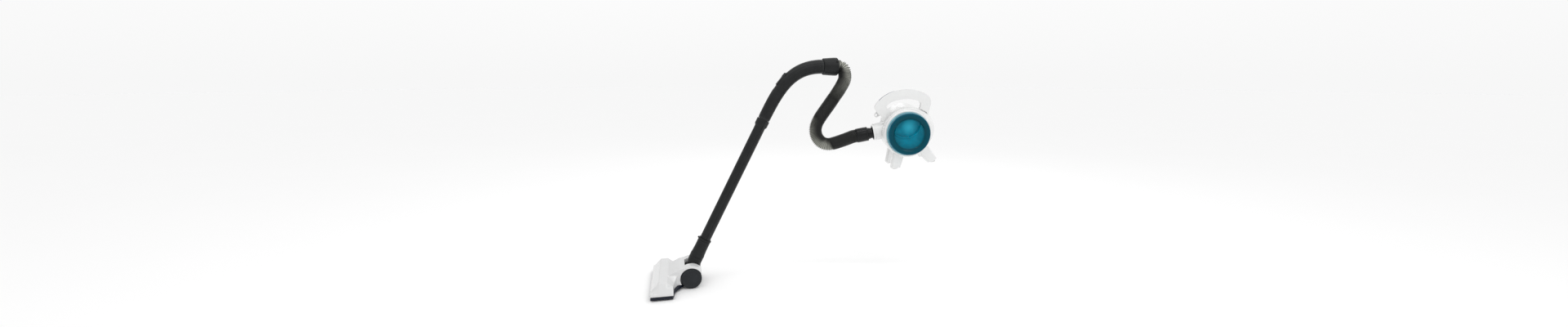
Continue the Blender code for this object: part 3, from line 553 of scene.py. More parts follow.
RIDGE = [(-41.0, 8.0), (-30.0, -1.5), (-14.0, -8.0), (2.0, -9.0), (18.0, -3.0), (30.0, 8.0), (37.0, 20.0)]
RIDGE_LINE = smooth_line(RIDGE, 6)
DISH_R = 43.0


def ridge_height(x):
    """Height of the curved turning ridge across the cup's face, at x."""
    before = RIDGE_LINE[0]
    for point in RIDGE_LINE[1:]:
        if point.x >= x:
            share = (x - before.x) / (point.x - before.x)
            return before.y + (point.y - before.y) * min(1.0, max(0.0, share))
        before = point
    return before.y


def dish_relief(x, z):
    """Depth of the hollow above the ridge and of the gentle swell below it."""
    above = z - ridge_height(x)
    border = eased((DISH_R - math.hypot(x, z)) / 4.0)
    if above > 0:
        return -4.2 * eased(above / 2.5) * eased(1.0 - above / 46.0) * border
    return (0.6 - 2.4 * eased(-above / 34.0)) * border


def dust_cup():
    face = [(DISH_R * i / 26, 80.0) for i in range(27)]
    outside = [(45.0, 82.6, 2.0), (49.0, 84.7, 4.0), (54.0, 85.8, 5.0), (57.6, 85.2, 2.0), (59.6, 82.6, 1.5),
               (CUP_R, 79.0, 2.0), (CUP_R, 68.0, 0.5), (FLANGE_R, 67.2, 0.6), (FLANGE_R, 63.5, 0.5),
               (CUP_R, 62.7, 0.4), (CUP_R, 49.6, 0.1), (59.5, 49.0, 0.1), (59.5, 36.0, 0.4)]
    inside = [(57.4, 36.0, 0.4), (57.4, 78.0, 2.0), (55.5, 81.8, 2.0), (52.0, 82.4, 3.0), (47.4, 79.9, 2.0),
              (45.2, 77.2, 1.0)]
    back = [(DISH_R * (26 - i) / 26, 77.2) for i in range(27)]
    wall = rounded([face[-1]] + outside + inside + [back[0]], 1.0, 5, closed=False)
    profile = face[:-1] + [(p[0], p[1]) for p in wall] + back[1:]
    bm = turned(profile, 160)
    for vert in bm.verts:
        if math.hypot(vert.co.x, vert.co.y) < DISH_R and vert.co.z > 70:
            vert.co.z += dish_relief(vert.co.x, vert.co.y)
    piece("clear_cup", moved(bm, TURN_X), TEAL, "dust_cup", UNIT, ["dust_cup"], sharp=50)
    rings = []
    for i, p in enumerate(RIDGE_LINE):
        ahead = RIDGE_LINE[min(len(RIDGE_LINE) - 1, i + 1)]
        behind = RIDGE_LINE[max(0, i - 1)]
        along = (ahead - behind).normalized()
        side = Vector((-along.y, along.x))
        taper = eased(min(i, len(RIDGE_LINE) - 1 - i) / 4.0) * 0.8 + 0.2
        section = rounded([(-1.7, -0.2), (-1.5, 3.6 * taper, 1.2), (1.5, 3.6 * taper, 1.2), (1.7, -0.2)],
                          0.1, 4)
        rings.append([(p.x + side.x * a, -80.4 - b, p.y + side.y * a) for a, b in section])
    piece("turning_ridge", skin(rings), TEAL, "dust_cup", UNIT, ["cup_grip_rib"])


def pleats():
    """The pleated filter with sharp folds, between its frame and its cap."""
    folds = 36
    outer = []
    for i in range(4 * folds):
        radius = 28.0 + 6.0 * (1 - abs((i % 4) - 2) / 2.0)
        t = 2 * math.pi * i / (4 * folds)
        outer.append((radius * math.cos(t), radius * math.sin(t)))
    ends = ((1, -66.0), (1, -31.1), (0.8, -31.1), (0.8, -66.0))
    rows = [[(x * k, y, z * k) for x, z in outer] for k, y in ends]
    piece("filter_pleats", skin(rows, closed=True), PAPER, "filter_unit", UNIT,
          ["pleated_filter"])


HANDLE_OUT = [(-42.0, 38.0), (-58.0, 60.0), (-69.0, 77.0), (-71.0, 88.0), (-62.0, 99.0), (-47.0, 109.0),
              (-33.0, 115.7), (-13.0, 121.0), (8.0, 122.0), (32.0, 119.0), (56.0, 111.0), (76.0, 99.5),
              (88.0, 86.0), (90.0, 72.0), (83.0, 54.0), (76.0, 36.0)]
HANDLE_IN = [(54.0, 44.0), (61.0, 60.0), (65.0, 72.0), (61.0, 81.0), (48.0, 89.5), (30.0, 95.5),
             (8.0, 98.5), (-13.0, 97.5), (-30.0, 93.5), (-40.5, 86.0), (-39.0, 77.0), (-29.0, 63.0),
             (-18.0, 50.0)]
SWITCH_AT = Matrix.Translation((-30.0, 0.0, 112.6)) @ Matrix.Rotation(-math.radians(22.0), 4, "Y")


def handle():
    outline = smooth_line(HANDLE_OUT, 5) + smooth_line(HANDLE_IN, 5)
    bar = bevelled(prism(outline, -HANDLE_W / 2, HANDLE_W / 2), 7.5, 6, 50)
    bar = combined(bar, seat_tool(-40, 40))
    well = bevelled(block((-27.6, -6.9, -7.0), (27.6, 6.9, 20.0)), 2.0, 4)
    bar = combined(bar, moved(well, SWITCH_AT))
    piece("handle_bar", bar, WHITE, "cleaner", UNIT, ["carry_handle"])
    rows = []
    for i in range(25):
        along = -1.0 + i / 12
        top = 5.4 - 3.7 * along ** 2 - 0.9 * along
        section = rounded([(-6.3, -1.5), (-6.3, top, 1.8), (6.3, top, 1.8), (6.3, -1.5)], 0.2, 5)
        rows.append([(27.0 * along, y, z) for y, z in section])
    piece("switch_cap", moved(skin(rows), SWITCH_AT), BLUE, "power_switch", UNIT,
          ["power_switch"])


def strap_eye():
    turn = Matrix.Translation((-64.6, 0, 67.4)) @ Matrix.Rotation(math.radians(147.0), 4, "Y")
    outline = arc(7.0, 0, 6.4, -90, 90, 24) + [(0.0, 7.6), (0.0, -7.6)]
    tab = prism(outline, -2.4, 2.4)
    hole = moved(rod(3.4, -10, 10, 40), Matrix.Translation((7.0, 0, 0)) @ TURN_X)
    tab = bevelled(combined(tab, hole), 0.8, 3, 40)
    piece("strap_eye", moved(tab, turn), WHITE, "cleaner", UNIT, ["strap_lug"])


def leg(name, node, root, tip, y_mid, seat):
    along = (Vector((tip[0], 0, tip[1])) - Vector((root[0], 0, root[1]))).normalized()
    side = Vector((along.z, 0, -along.x))
    rings = []
    for (x, z), half, deep in ((root, 17.0, 14.0), (tip, 13.5, 10.0)):
        mid = Vector((x, y_mid, z))
        rings.append([mid + side * a * half + Vector((0, b * deep, 0))
                      for a, b in ((-1, -1), (1, -1), (1, 1), (-1, 1))])
    body = bevelled(skin(rings), 4.5, 5, 40)
    body = combined(body, seat)
    body = combined(body, block((-200, -200, FOOT_Z - 60), (200, 200, FOOT_Z)))
    piece(name, body, WHITE, "cleaner", UNIT, [node])


def legs():
    def round_seat():
        return moved(rod(RING_R + GAP, -120, 120, 128), TURN_X)
    leg("leg_front_left", "foot_front_left", (-32.0, -50.0), (-50.0, -99.0), -45.0, round_seat())
    leg("leg_front_right", "foot_front_right", (34.0, -48.0), (64.0, -97.0), -45.0, round_seat())
    leg("leg_rear_left", "foot_rear_left", (-24.0, -50.0), (-46.0, -99.0), 52.0, seat_tool(20, 120))
    leg("leg_rear_right", "foot_rear_right", (46.0, -46.0), (64.0, -97.0), 52.0, seat_tool(20, 120))


def exhaust():
    """Rear grille with rounded slots, and its screws with cross recesses."""
    rim = WALL + GAP
    rows = [oval(84.5, REAR_CX, 64.0 - rim, 55.0 - rim), oval(87.4, REAR_CX, 59.2 - rim, 50.2 - rim),
            oval(88.0, REAR_CX, 58.4 - rim, 49.4 - rim)]
    grille = skin(rows)
    for i in range(11):
        z = -38.0 + 7.6 * i
        half = 50.0 * math.sqrt(1 - (z / 44.5) ** 2) - 8.0
        ends = arc(half, 0, 1.7, -90, 90, 8) + arc(-half, 0, 1.7, 90, 270, 8)
        slot_tool = prism([(REAR_CX + x, z + dz) for x, dz in ends], 80.0, 92.0)
        grille = combined(grille, slot_tool)
    piece("rear_grille", bevelled(grille, 0.5, 2, 40), WHITE, "cleaner", UNIT,
          ["exhaust_grille"])
    for name, x in (("grille_screw_left", REAR_CX - 49.0), ("grille_screw_right", REAR_CX + 49.0)):
        at = Matrix.Translation((x, 88.0, 0)) @ TURN_BACK
        screw(name + "_head", name, at, 3.5, 2.0, "cleaner", UNIT, STEEL)


def screw(name, node, at, radius, height, body, place, mat):
    """A pan head with a cross recess."""
    profile = [(0.0, height), (radius * 0.7, height, 2.0), (radius, GAP + 0.5, 1.0), (radius, GAP, 0.1),
               (0.0, GAP)]
    head = turned(rounded(profile, 0.3, closed=False), 40)
    for turn in (0, 90):
        bar = moved(block((-radius * 0.6, -0.45, height - 0.9), (radius * 0.6, 0.45, height + 1)),
                    Matrix.Rotation(math.radians(turn), 4, "Z"))
        head = combined(head, bar)
    piece(name, moved(head, at), mat, body, place, [node])


def cord_gland():
    rings = [(3.6, 12.0, 0.5), (5.6, 12.0, 0.6)]
    for i in range(3):
        z = 10.4 - 2.8 * i
        rings += [(5.6 + 0.35 * i, z, 0.2), (4.9 + 0.35 * i, z - 0.3, 0.2), (4.9 + 0.35 * i, z - 1.1, 0.2),
                  (5.8 + 0.35 * i, z - 1.4, 0.2)]
    rings += [(7.2, 2.6, 0.8), (10.0, 2.0, 0.5), (10.0, 0.4, 0.3), (3.6, 0.4, 0.1)]
    at = Matrix.Translation((REAR_CX, CORD_Y, -REAR_B)) @ Matrix.Rotation(math.radians(180), 4, "Y")
    piece("cord_gland", moved(turned(rounded(rings, 0.3, 2), 48), at), RUBBER, "cleaner", UNIT,
          ["cord_inlet"])


# ------------------------------------------------------------------ hose
# The hose's middle line between its two ends, in row-frame metres
HOSE_ROUTE = [
    (-165.2, 49.8, 74.0), (-161.8, 46.4, 60.0), (-162.2, 41.8, 45.0), (-168.6, 37.7, 30.7),
    (-177.1, 34.3, 16.0), (-187.4, 30.9, 0.4), (-199.8, 29.2, -17.5), (-212.3, 27.4, -35.5),
    (-225.2, 25.8, -53.5), (-238.2, 24.0, -72.5), (-247.4, 21.6, -89.5), (-251.4, 19.0, -107.4),
    (-248.4, 16.6, -125.0), (-239.0, 14.4, -139.8), (-225.0, 12.4, -149.0), (-209.0, 10.8, -150.8),
    (-191.6, 9.4, -146.6), (-175.4, 8.6, -141.0), (-159.4, 8.1, -135.2),
]
HOSE_STRAIGHT = 9.0
# Distance along the hose and the spacing of its ribs there: closed on the straights
OPENING = ((0, 4.4), (22, 4.2), (45, 3.3), (80, 2.9), (110, 2.6), (132, 2.0), (186, 2.0), (206, 2.6),
           (245, 2.8), (268, 3.3), (285, 4.2), (300, 3.4), (314, 2.0), (400, 2.0))
FOLD_TIGHT = 2.0
DEPTH_TIGHT = 0.6  # depth of the folds where they are closed
DEPTH_OPEN = 3.1  # and where they are pulled open
RIB_HALF = 0.62  # half width of a rib's foot
RIB_SHARE = 0.36  # and its largest share of the spacing
# A rib across its foot: place in half widths, how far sunk, how much painted highlight it takes where the
# folds open
RIB = ((-1.0, 0.9, 0.9), (-0.5, 0.2, 0.1), (0.0, 0.0, 0.0), (0.5, 0.2, 0.1), (1.0, 0.9, 0.9))
BEND_REACH = 30.0  # length of hose over which its bend is read
HOSE_STEPS = 64


def hose_line():
    """Closely spaced points of the middle line, in millimetres."""
    out_dir = Vector((math.cos(WAND_YAW), math.sin(WAND_YAW), 0))
    in_dir = Vector((math.cos(UNIT_TILT), 0, math.sin(UNIT_TILT)))
    start = WAND_AT + out_dir * (SLEEVE_TO + COLLAR_OUT + 2 * GAP) + Vector((0, 0, SLEEVE_Z))
    end = UNIT_AT - in_dir * (CUFF_END + GAP)
    end += Vector((-math.sin(UNIT_TILT) * PORT_Z, PORT_Y, math.cos(UNIT_TILT) * PORT_Z))
    route = [Vector(p) for p in HOSE_ROUTE]
    line = smooth_line([start + out_dir * HOSE_STRAIGHT] + route + [end - in_dir * HOSE_STRAIGHT], 16)
    lead = [start.lerp(line[0], i / 12) for i in range(12)]
    tail = [line[-1].lerp(end, i / 12) for i in range(1, 13)]
    return lead + line + tail


class Track:
    """A line that can be read at any distance along it."""

    def __init__(self, points):
        self.points = points
        self.marks = [0.0]
        for a, b in zip(points, points[1:]):
            self.marks.append(self.marks[-1] + (b - a).length)
        self.length = self.marks[-1]

    def at(self, s):
        s = min(self.length, max(0.0, s))
        low, high = 0, len(self.marks) - 1
        while high - low > 1:
            mid = (low + high) // 2
            if self.marks[mid] <= s:
                low = mid
            else:
                high = mid
        share = (s - self.marks[low]) / (self.marks[high] - self.marks[low])
        return self.points[low].lerp(self.points[high], share)

    def along(self, s, reach=2.0):
        return (self.at(s + reach) - self.at(s - reach)).normalized()

    def bend(self, s):
        """The mean curvature vector, which points to the inside of the bend, in 1/mm."""
        low, high = max(2.0, s - BEND_REACH), min(self.length - 2.0, s + BEND_REACH)
        return (self.along(high) - self.along(low)) / (high - low)


def spacing(s):
    """The ribs' spacing at a distance along the hose."""
    for (low, first), (high, last) in zip(OPENING, OPENING[1:]):
        if low <= s < high:
            return first + (last - first) * eased((s - low) / (high - low))
    return FOLD_TIGHT


def hose():
    track = Track(hose_line())
    stations = []
    s = 0.4
    while s < track.length - 1.5:
        pitch = spacing(s)
        half = min(RIB_HALF, pitch * RIB_SHARE)
        crest = s + pitch / 2
        stations.append((s, 1.0, 1.0, pitch))
        stations += [(crest + half * place, sunk, groove, pitch) for place, sunk, groove in RIB]
        s += pitch
    stations.append((track.length - 0.3, 1.0, 0.0, FOLD_TIGHT))
    bm = bmesh.new()
    painted_highlight = bm.verts.layers.float.new("painted_fold_highlight")
    side = track.along(0).orthogonal().normalized()
    rows = []
    for s, sunk, groove, pitch in stations:
        along = track.along(s)
        side = (side - along * side.dot(along)).normalized()
        other = along.cross(side)
        centre, bend = track.at(s), track.bend(s)
        row = []
        for i in range(HOSE_STEPS):
            t = 2 * math.pi * i / HOSE_STEPS
            arm = side * math.cos(t) + other * math.sin(t)
            opened = pitch * (1 - 1.2 * bend.dot(arm) * HOSE_R)
            depth = DEPTH_TIGHT + (DEPTH_OPEN - DEPTH_TIGHT) * eased((opened - FOLD_TIGHT) / 1.6)
            vert = bm.verts.new(centre + arm * (HOSE_R - sunk * depth))
            # painted highlight: the share of pale grey on the walls of folds that a bend pulls open
            vert[painted_highlight] = groove * eased((opened - 2.3) / 1.8)
            row.append(vert)
        rows.append(row)
    for a, b in zip(rows, rows[1:]):
        for i in range(HOSE_STEPS):
            j = (i + 1) % HOSE_STEPS
            bm.faces.new((a[i], a[j], b[j], b[i]))
    bm.faces.new(rows[0])
    bm.faces.new(rows[-1])
    tube = piece("hose_tube", bm, HOSE, "cleaner", ROW, ["hose"], sharp=75)


def hose_cuff():
    """Stepped cuff that pushes into the cleaner's port."""
    near = PORT_MOUTH - CUFF_END
    profile = [(13.0, 27.5), (15.6, 27.5, 0.5), (16.0, 20.0, 2.0), (16.0, 3.0, 0.3), (15.4, 2.4, 0.3),
               (15.4, 0.0, 0.3), (16.0, -0.6, 0.3), (16.0, -9.0, 0.5), (17.2, -9.6, 0.4), (17.2, -14.2, 0.4),
               (20.6, -15.2, 0.5), (21.5, -16.2, 0.6), (21.5, -20.0, 0.2), (21.0, -20.5, 0.2),
               (21.0, -21.5, 0.2), (21.5, -22.0, 0.2), (21.5, near + 4.0, 1.0), (20.2, near, 0.8),
               (13.0, near, 0.4)]
    bm = turned(rounded(profile, 0.4, 3), 112)
    for turn in (20, 200):
        key = bevelled(block((20.4, -3.5, -45.0), (22.1, 3.5, -24.0)), 0.6, 3)
        bm = combined(bm, moved(key, Matrix.Rotation(math.radians(turn), 4, "Z")), "UNION")
    at = Matrix.Translation((-PORT_MOUTH, PORT_Y, PORT_Z)) @ TURN_Y
    piece("port_cuff", moved(bm, at), CUFF_BLACK, "cleaner", UNIT, ["hose_port_cuff"])


# ------------------------------------------------------------------ grip and wand
ALONG_WAND = Matrix.Rotation(math.radians(90) - WAND_LEAN, 4, "Y")
TO_SLEEVE = Matrix.Translation((0, 0, SLEEVE_Z)) @ TURN_Y


def wand_point(s):
    return Vector((SEAM_AT[0] + s * math.cos(WAND_LEAN), 0, SEAM_AT[1] + s * math.sin(WAND_LEAN)))


def grip_line(steps):
    """The grip's middle line: points, directions and shares of one cubic curve."""
    a = wand_point(WAND_TOP + 0.4)
    d = Vector((SLEEVE_FROM - GAP, 0, SLEEVE_Z))
    b = a + Vector((math.cos(WAND_LEAN), 0, math.sin(WAND_LEAN))) * GRIP_PULL_LOW
    c = d - Vector((GRIP_PULL_HIGH, 0, 0))
    out = []
    for i in range(steps + 1):
        t = i / steps
        u = 1 - t
        point = a * u ** 3 + b * 3 * u * u * t + c * 3 * u * t * t + d * t ** 3
        slope = (b - a) * u * u + (c - b) * 2 * u * t + (d - c) * t * t
        out.append((point, slope.normalized(), t))
    return out


def ring_at(point, along, in_plane, across, groove=0.0):
    """A ring round the line; the groove is a shallow parting line on both flanks."""
    side = Vector((-along.z, 0, along.x))
    row = []
    for i in range(RING_STEPS):
        t = 2 * math.pi * i / RING_STEPS
        parting = min(abs(math.degrees(t) - place) for place in (67.5, 292.5))
        cut = groove if parting < 1.0 else 0.0
        row.append(point + side * (in_plane - cut) * math.cos(t)
                   + Vector((0, 1, 0)) * (across - cut) * math.sin(t))
    return row


def grip():
    outer = []
    inner = []
    for point, along, t in grip_line(44):
        grow = GRIP_R_LOW + GRIP_GROW * t
        lip = -0.8 if t in (0.0, 1.0) else 0.0
        outer.append(ring_at(point, along, grow + lip, grow - 1.0 * (1 - t) + lip, groove=0.5))
        inner.append(ring_at(point, along, 14.6, 14.2))
    tube = skin(outer + inner[::-1], closed=True)
    point, along, _ = grip_line(11)[5]
    side = Vector((-along.z, 0, along.x))
    at = Matrix.Translation(point + side * 15.8) @ Matrix.Rotation(-math.atan2(along.z, along.x), 4, "Y")
    seat = bevelled(block((-36.0, -9.2, 0.0), (28.0, 9.2, 20.0)), 2.0, 3)
    tube = combined(tube, moved(seat, at))
    tube = combined(tube, moved(block((-6.0, -4.0, -8.0), (14.0, 4.0, 8.0)), at))
    low, high = WAND_TOP - 14.0, WAND_TOP + 3.0
    spigot = [(12.8, low), (14.15, low), (14.15, high), (12.8, high)]
    tube = joined(tube, moved(turned(spigot, 64), Matrix.Translation(wand_point(0)) @ ALONG_WAND))
    piece("grip_shell", tube, BLACK, "wand", WAND, ["grip_tube"])
    cap = bevelled(block((-18.0, -8.6, 0.4), (27.0, 8.6, 6.4)), 2.2, 4)
    for vert in cap.verts:
        if vert.co.z > 3.0:
            vert.co.z -= 1.6 * (vert.co.y / 8.6) ** 2 + 1.5 * eased((-vert.co.x - 6.0) / 12.0)
    for i in range(5):
        ridge = moved(rod(0.8, -6.4, 6.4, 16), Matrix.Translation((13.0 + 2.8 * i, 0, 5.9)) @ TURN_X)
        cap = combined(cap, ridge, "UNION")
    piece("slider_cap", moved(cap, at), BLACK, "suction_slider", WAND, ["suction_slider"])


def sleeve():
    """The swivelling end of the grip with its recessed screws, and the hose collar in it."""
    profile = [(21.6, SLEEVE_TO - 1.0, 0.5), (25.2, SLEEVE_TO, 0.6), (SLEEVE_R, SLEEVE_TO - 2.6, 1.2),
               (SLEEVE_R, SLEEVE_TO - 12.0, 20.0), (SLEEVE_R - 2.2, SLEEVE_FROM + 1.6, 0.8),
               (SLEEVE_R - 3.4, SLEEVE_FROM, 0.6), (15.0, SLEEVE_FROM), (15.0, SLEEVE_FROM + 3.0),
               (21.6, SLEEVE_FROM + 5.0)]
    body = moved(turned(rounded(profile, 0.4, 4), 128), TO_SLEEVE)
    for z in (SCREW_OFF, -SCREW_OFF):
        y = -math.sqrt((SLEEVE_R - 0.3) ** 2 - z * z)
        at = Matrix.Translation((SLEEVE_TO - 6.0, y, SLEEVE_Z + z)) @ Matrix.Rotation(
            math.radians(90) - math.atan2(z, -y), 4, "X")
        node = "sleeve_screw_top" if z > 0 else "sleeve_screw_bottom"
        ring = moved(turned(rounded([(3.1, 0.9), (4.1, 0.9, 0.4), (4.3, -1.2), (3.1, -1.2)], 0.3), 40), at)
        body = combined(body, ring, "UNION")
        screw(node + "_head", node, at, 2.6, 1.5, "wand", WAND, CUFF_BLACK)
    piece("sleeve_shell", body, BLACK, "wand", WAND, ["swivel_sleeve"])
    collar = [(13.0, SLEEVE_TO + COLLAR_OUT, 0.3), (20.0, SLEEVE_TO + COLLAR_OUT, 0.6),
              (21.2, SLEEVE_TO - 0.6, 0.6), (21.2, SLEEVE_FROM + 8.0), (13.0, SLEEVE_FROM + 8.0)]
    piece("collar_ring", moved(turned(rounded(collar, 0.3, 3)), TO_SLEEVE), CUFF_BLACK, "cleaner", WAND,
          ["hose_collar"])


def wand():
    at = Matrix.Translation(wand_point(0)) @ ALONG_WAND
    profile = [(WAND_BORE, WAND_TOP - 4.0), (18.3, WAND_TOP, 0.5), (19.6, WAND_TOP - 1.6, 0.8),
               (19.6, WAND_TOP - 19.0, 2.0), (WAND_R, WAND_TOP - 25.0, 3.0), (WAND_R, 16.0),
               (WAND_BORE, 16.0)]
    pipe = turned(rounded(profile, 0.4, 4), 112)
    rail_turn = Matrix.Rotation(math.radians(-68.0), 4, "Z")
    rail = bevelled(block((WAND_R - 2.0, -4.2, CUFF_LEN + 7.0), (WAND_R + 1.3, 4.2, WAND_TOP - 23.0)), 0.9, 3)
    pipe = combined(pipe, moved(rail, rail_turn), "UNION")
    socket_rail = bevelled(block((WAND_R, -3.2, WAND_TOP - 36.0), (21.2, 3.2, WAND_TOP - 2.5)), 1.2, 3)
    pipe = combined(pipe, moved(socket_rail, rail_turn), "UNION")
    piece("wand_pipe", moved(pipe, at), BLACK, "wand", WAND, ["wand_tube"])
    ring = [(WAND_R + GAP, CUFF_LEN + 5.0), (19.4, CUFF_LEN + 5.0, 0.8), (20.6, CUFF_LEN + 3.6, 0.6),
            (20.6, CUFF_LEN + 0.8, 0.5), (WAND_R + GAP, CUFF_LEN + GAP)]
    latch = bevelled(block((17.5, -4.0, CUFF_LEN + 0.6), (23.0, 4.0, CUFF_LEN + 4.6)), 1.0, 3)
    latch = moved(latch, Matrix.Rotation(math.radians(180), 4, "Z"))
    ring = combined(turned(rounded(ring, 0.2, 3)), latch, "UNION")
    piece("wand_ring", moved(ring, at), BLACK, "wand", WAND, ["wand_collar"])
    cuff = [(WAND_R + GAP, CUFF_LEN), (19.2, CUFF_LEN, 0.5), (19.6, CUFF_LEN - 2.0, 1.0), (19.6, 30.0, 30.0),
            (20.6, 12.0, 3.0), (21.4, 9.0, 1.0), (21.4, 2.2, 0.8), (20.4, 0.4, 0.4), (15.8, 0.4),
            (15.8, 15.0), (WAND_R + GAP, 15.6)]
    knob = rounded([(0.0, 20.9), (2.6, 20.9, 0.5), (3.2, 18.0), (0.0, 18.0)], 0.3, closed=False)
    aside = Matrix.Rotation(math.radians(-72.0), 4, "Z") @ TURN_Y
    button = moved(turned(knob, 32), Matrix.Translation((0, 0, 21.0)) @ aside)
    cuff = combined(turned(rounded(cuff, 0.3, 4)), button, "UNION")
    piece("wand_socket", moved(cuff, at), BLACK, "wand", WAND, ["wand_cuff"])


def elbow():
    """A drum that pitches in the head, and the bent neck that carries the wand."""
    drum = rounded([(0.0, -SLOT_HALF + GAP), (DRUM_R, -SLOT_HALF + GAP, 1.0), (DRUM_R, SLOT_HALF - GAP, 1.0),
                    (0.0, SLOT_HALF - GAP)], 0.5, 4, closed=False)
    body = moved(turned(drum, 112), TURN_X)
    along = Vector((math.cos(WAND_LEAN), 0, math.sin(WAND_LEAN)))
    seam = wand_point(0)
    lean = math.radians(78)
    stages = [(Vector((6, 0, 8)), Vector((0, 0, 1)), 17.0),
              (Vector((8, 0, 24)), Vector((math.cos(lean), 0, math.sin(lean))), 18.6),
              (seam - along * 15, along, 21.0), (seam - along * 1.5, along, 21.2), (seam, along, 20.4)]
    rings = []
    for (p, d, r), (q, e, s) in zip(stages, stages[1:]):
        count = 5 if (q - p).length > 5 else 1
        rings += [ring_at(p.lerp(q, k / count), d.lerp(e, k / count).normalized(),
                          *(2 * [r + (s - r) * eased(k / count)])) for k in range(count)]
    rings.append(ring_at(seam, along, 20.4, 20.4))
    body = combined(body, skin(rings), "UNION")
    at_seam = Matrix.Translation(seam) @ ALONG_WAND
    body = combined(body, moved(rod(SPIGOT_R, -6, 13), at_seam), "UNION")
    body = combined(body, moved(rod(ELBOW_BORE, -46, 30), at_seam))
    body = combined(body, moved(rod(ELBOW_BORE, 0, 40), Matrix.Translation((4, 0, 0)) @ TURN_Y.inverted()))
    body = combined(body, moved(rod(PIN_HOLE_R, -40, 40, 40), TURN_X))
    piece("elbow_joint", body, BLACK, "elbow", WAND, ["elbow"])


# ------------------------------------------------------------------ floor head
def top_height(x, y):
    """Height of the faceted front body above the wheel axis."""
    across = abs(y)
    end = (HEAD_HALF - across) / 16.0
    slope = -12.0 + 28.0 * min(1.0, max(0.0, end))
    front = -9.0 + (x - HEAD_FRONT) * 1.0
    crown = 16.0 + 0.20 * max(0.0, x + 92.0)
    fall = 16.0 - (x + 70.0) * 0.8 * min(1.0, max(0.0, (across - 50.0) / 20.0)) if x > -70.0 else 99.0
    return min(slope, front, crown, fall)


def wheel_rooms():
    rooms = []
    for side in (-1, 1):
        lo, hi = sorted((side * (WHEEL_IN - 1.2), side * (WHEEL_OUT + 9)))
        rooms.append(moved(rod(WHEEL_R + WHEEL_ROOM, -hi, -lo, 128), TURN_X))
    return rooms


def head_shell():
    rows = []
    stations = [-1.0, -0.93, -0.85, -0.6, -0.42, 0.0, 0.42, 0.6, 0.85, 0.93, 1.0]
    for s in stations:
        y = s * HEAD_HALF
        rear = HEAD_REAR + (2.0 if abs(s) < 0.8 else 0.0) + (10.0 if abs(s) < 0.5 else 0.0)
        xs = [HEAD_FRONT, -92.0, -70.0, rear]
        row = [(HEAD_FRONT, y, COVER_Z), (rear, y, COVER_Z)]
        row += [(x, y, max(COVER_Z + 3.0, top_height(x, y))) for x in reversed(xs)]
        rows.append(row)
    front = skin(rows)
    bmesh.ops.triangulate(front, faces=front.faces)
    roof = [(-72.0, COVER_Z), (-72.0, 14.0), (-60.0, 20.0), (-46.0, 27.0), (-34.0, 32.5), (-18.5, 35.4)]
    roof += arc(0, 0, ARCH_R, 116, 38, 20)
    roof += [(31.0, 14.0), (27.5, 0.0), (21.0, -13.0), (-40.0, COVER_Z)]
    shell = combined(front, prism(roof, -50.0, 50.0), "UNION")
    shell = softened(shell, 1.5, 6)
    shell = combined(shell, block((-18.5, -SLOT_HALF, -60), (80, SLOT_HALF, 80)))
    shell = combined(shell, moved(rod(DRUM_R + 1.0, -SLOT_HALF, SLOT_HALF, 96), TURN_X))
    for room in wheel_rooms():
        shell = combined(shell, room)
    shell = combined(shell, block((-108.0, -98.0, -40), (-66.0, 98.0, AIR_WAY_TOP)))
    shell = combined(shell, block((-70.0, -16.0, -40), (-24.0, 16.0, 8.0)))
    piece("head_shell", shell, SHADED_HEAD_WHITE, "floor_head", WAND, ["head_cover"], sharp=40)


def head_plan(inset):
    """Plan outline of the floor head: straight front, rounded ends, waisted rear."""
    half = HEAD_HALF - inset
    front = HEAD_FRONT + inset
    rear = HEAD_REAR - inset
    side = [(rear - 2.0, half - 1.0), (rear, half - 8.0), (rear + 2.0, half - 28.0), (rear + 7.0, 72.0),
            (rear + 17.0, 58.0 - inset), (rear + 22.0, 50.0 - inset), (-24.0, 44.0 - inset)]
    corner = arc(front + 6.0, half - 6.0, 6.0, 90, 180, 8)
    left = corner[::-1] + side
    return left + [(x, -y) for x, y in reversed(left)]


def head_sole():
    outline = head_plan(1.0)
    sole = skin([[(x, y, z) for x, y in outline] for z in (BASE_Z, COVER_Z - GAP)])
    for vert in sole.verts:
        if vert.co.z < COVER_Z - 5.0 and vert.co.x > HEAD_REAR + 2.0:
            vert.co.z += 3.0
    sole = bevelled(sole, 1.5, 3, 50)
    sole = combined(sole, block((-102.0, -96.0, -40), (-79.0, 96.0, 0)))
    sole = combined(sole, moved(rod(DRUM_R + 1.0, -60, 60, 96), TURN_X))
    for room in wheel_rooms():
        sole = combined(sole, room)
    piece("head_sole", sole, NAVY, "floor_head", WAND, ["head_base"])
    rng = random.Random(4)
    for name, node, x in (("front_brush", "front_bristle", -108.5), ("rear_brush", "rear_bristle", -72.0)):
        bars = [bevelled(block((x - 1.6, -94.0, BASE_Z - GAP - 1.0), (x + 1.6, 94.0, BASE_Z - GAP)), 0.3, 1)]
        for i in range(94):
            lean = Matrix.Rotation(math.radians(rng.uniform(-5, 5)), 4, "Y")
            tuft = rod(0.55, -3.5, 0.0, 6, top=0.9)
            bars.append(moved(tuft, Matrix.Translation((x, -93.0 + 2.0 * i, BASE_Z - GAP - 0.4)) @ lean))
        piece(name, joined(*bars), NYLON, "floor_head", WAND, [node])


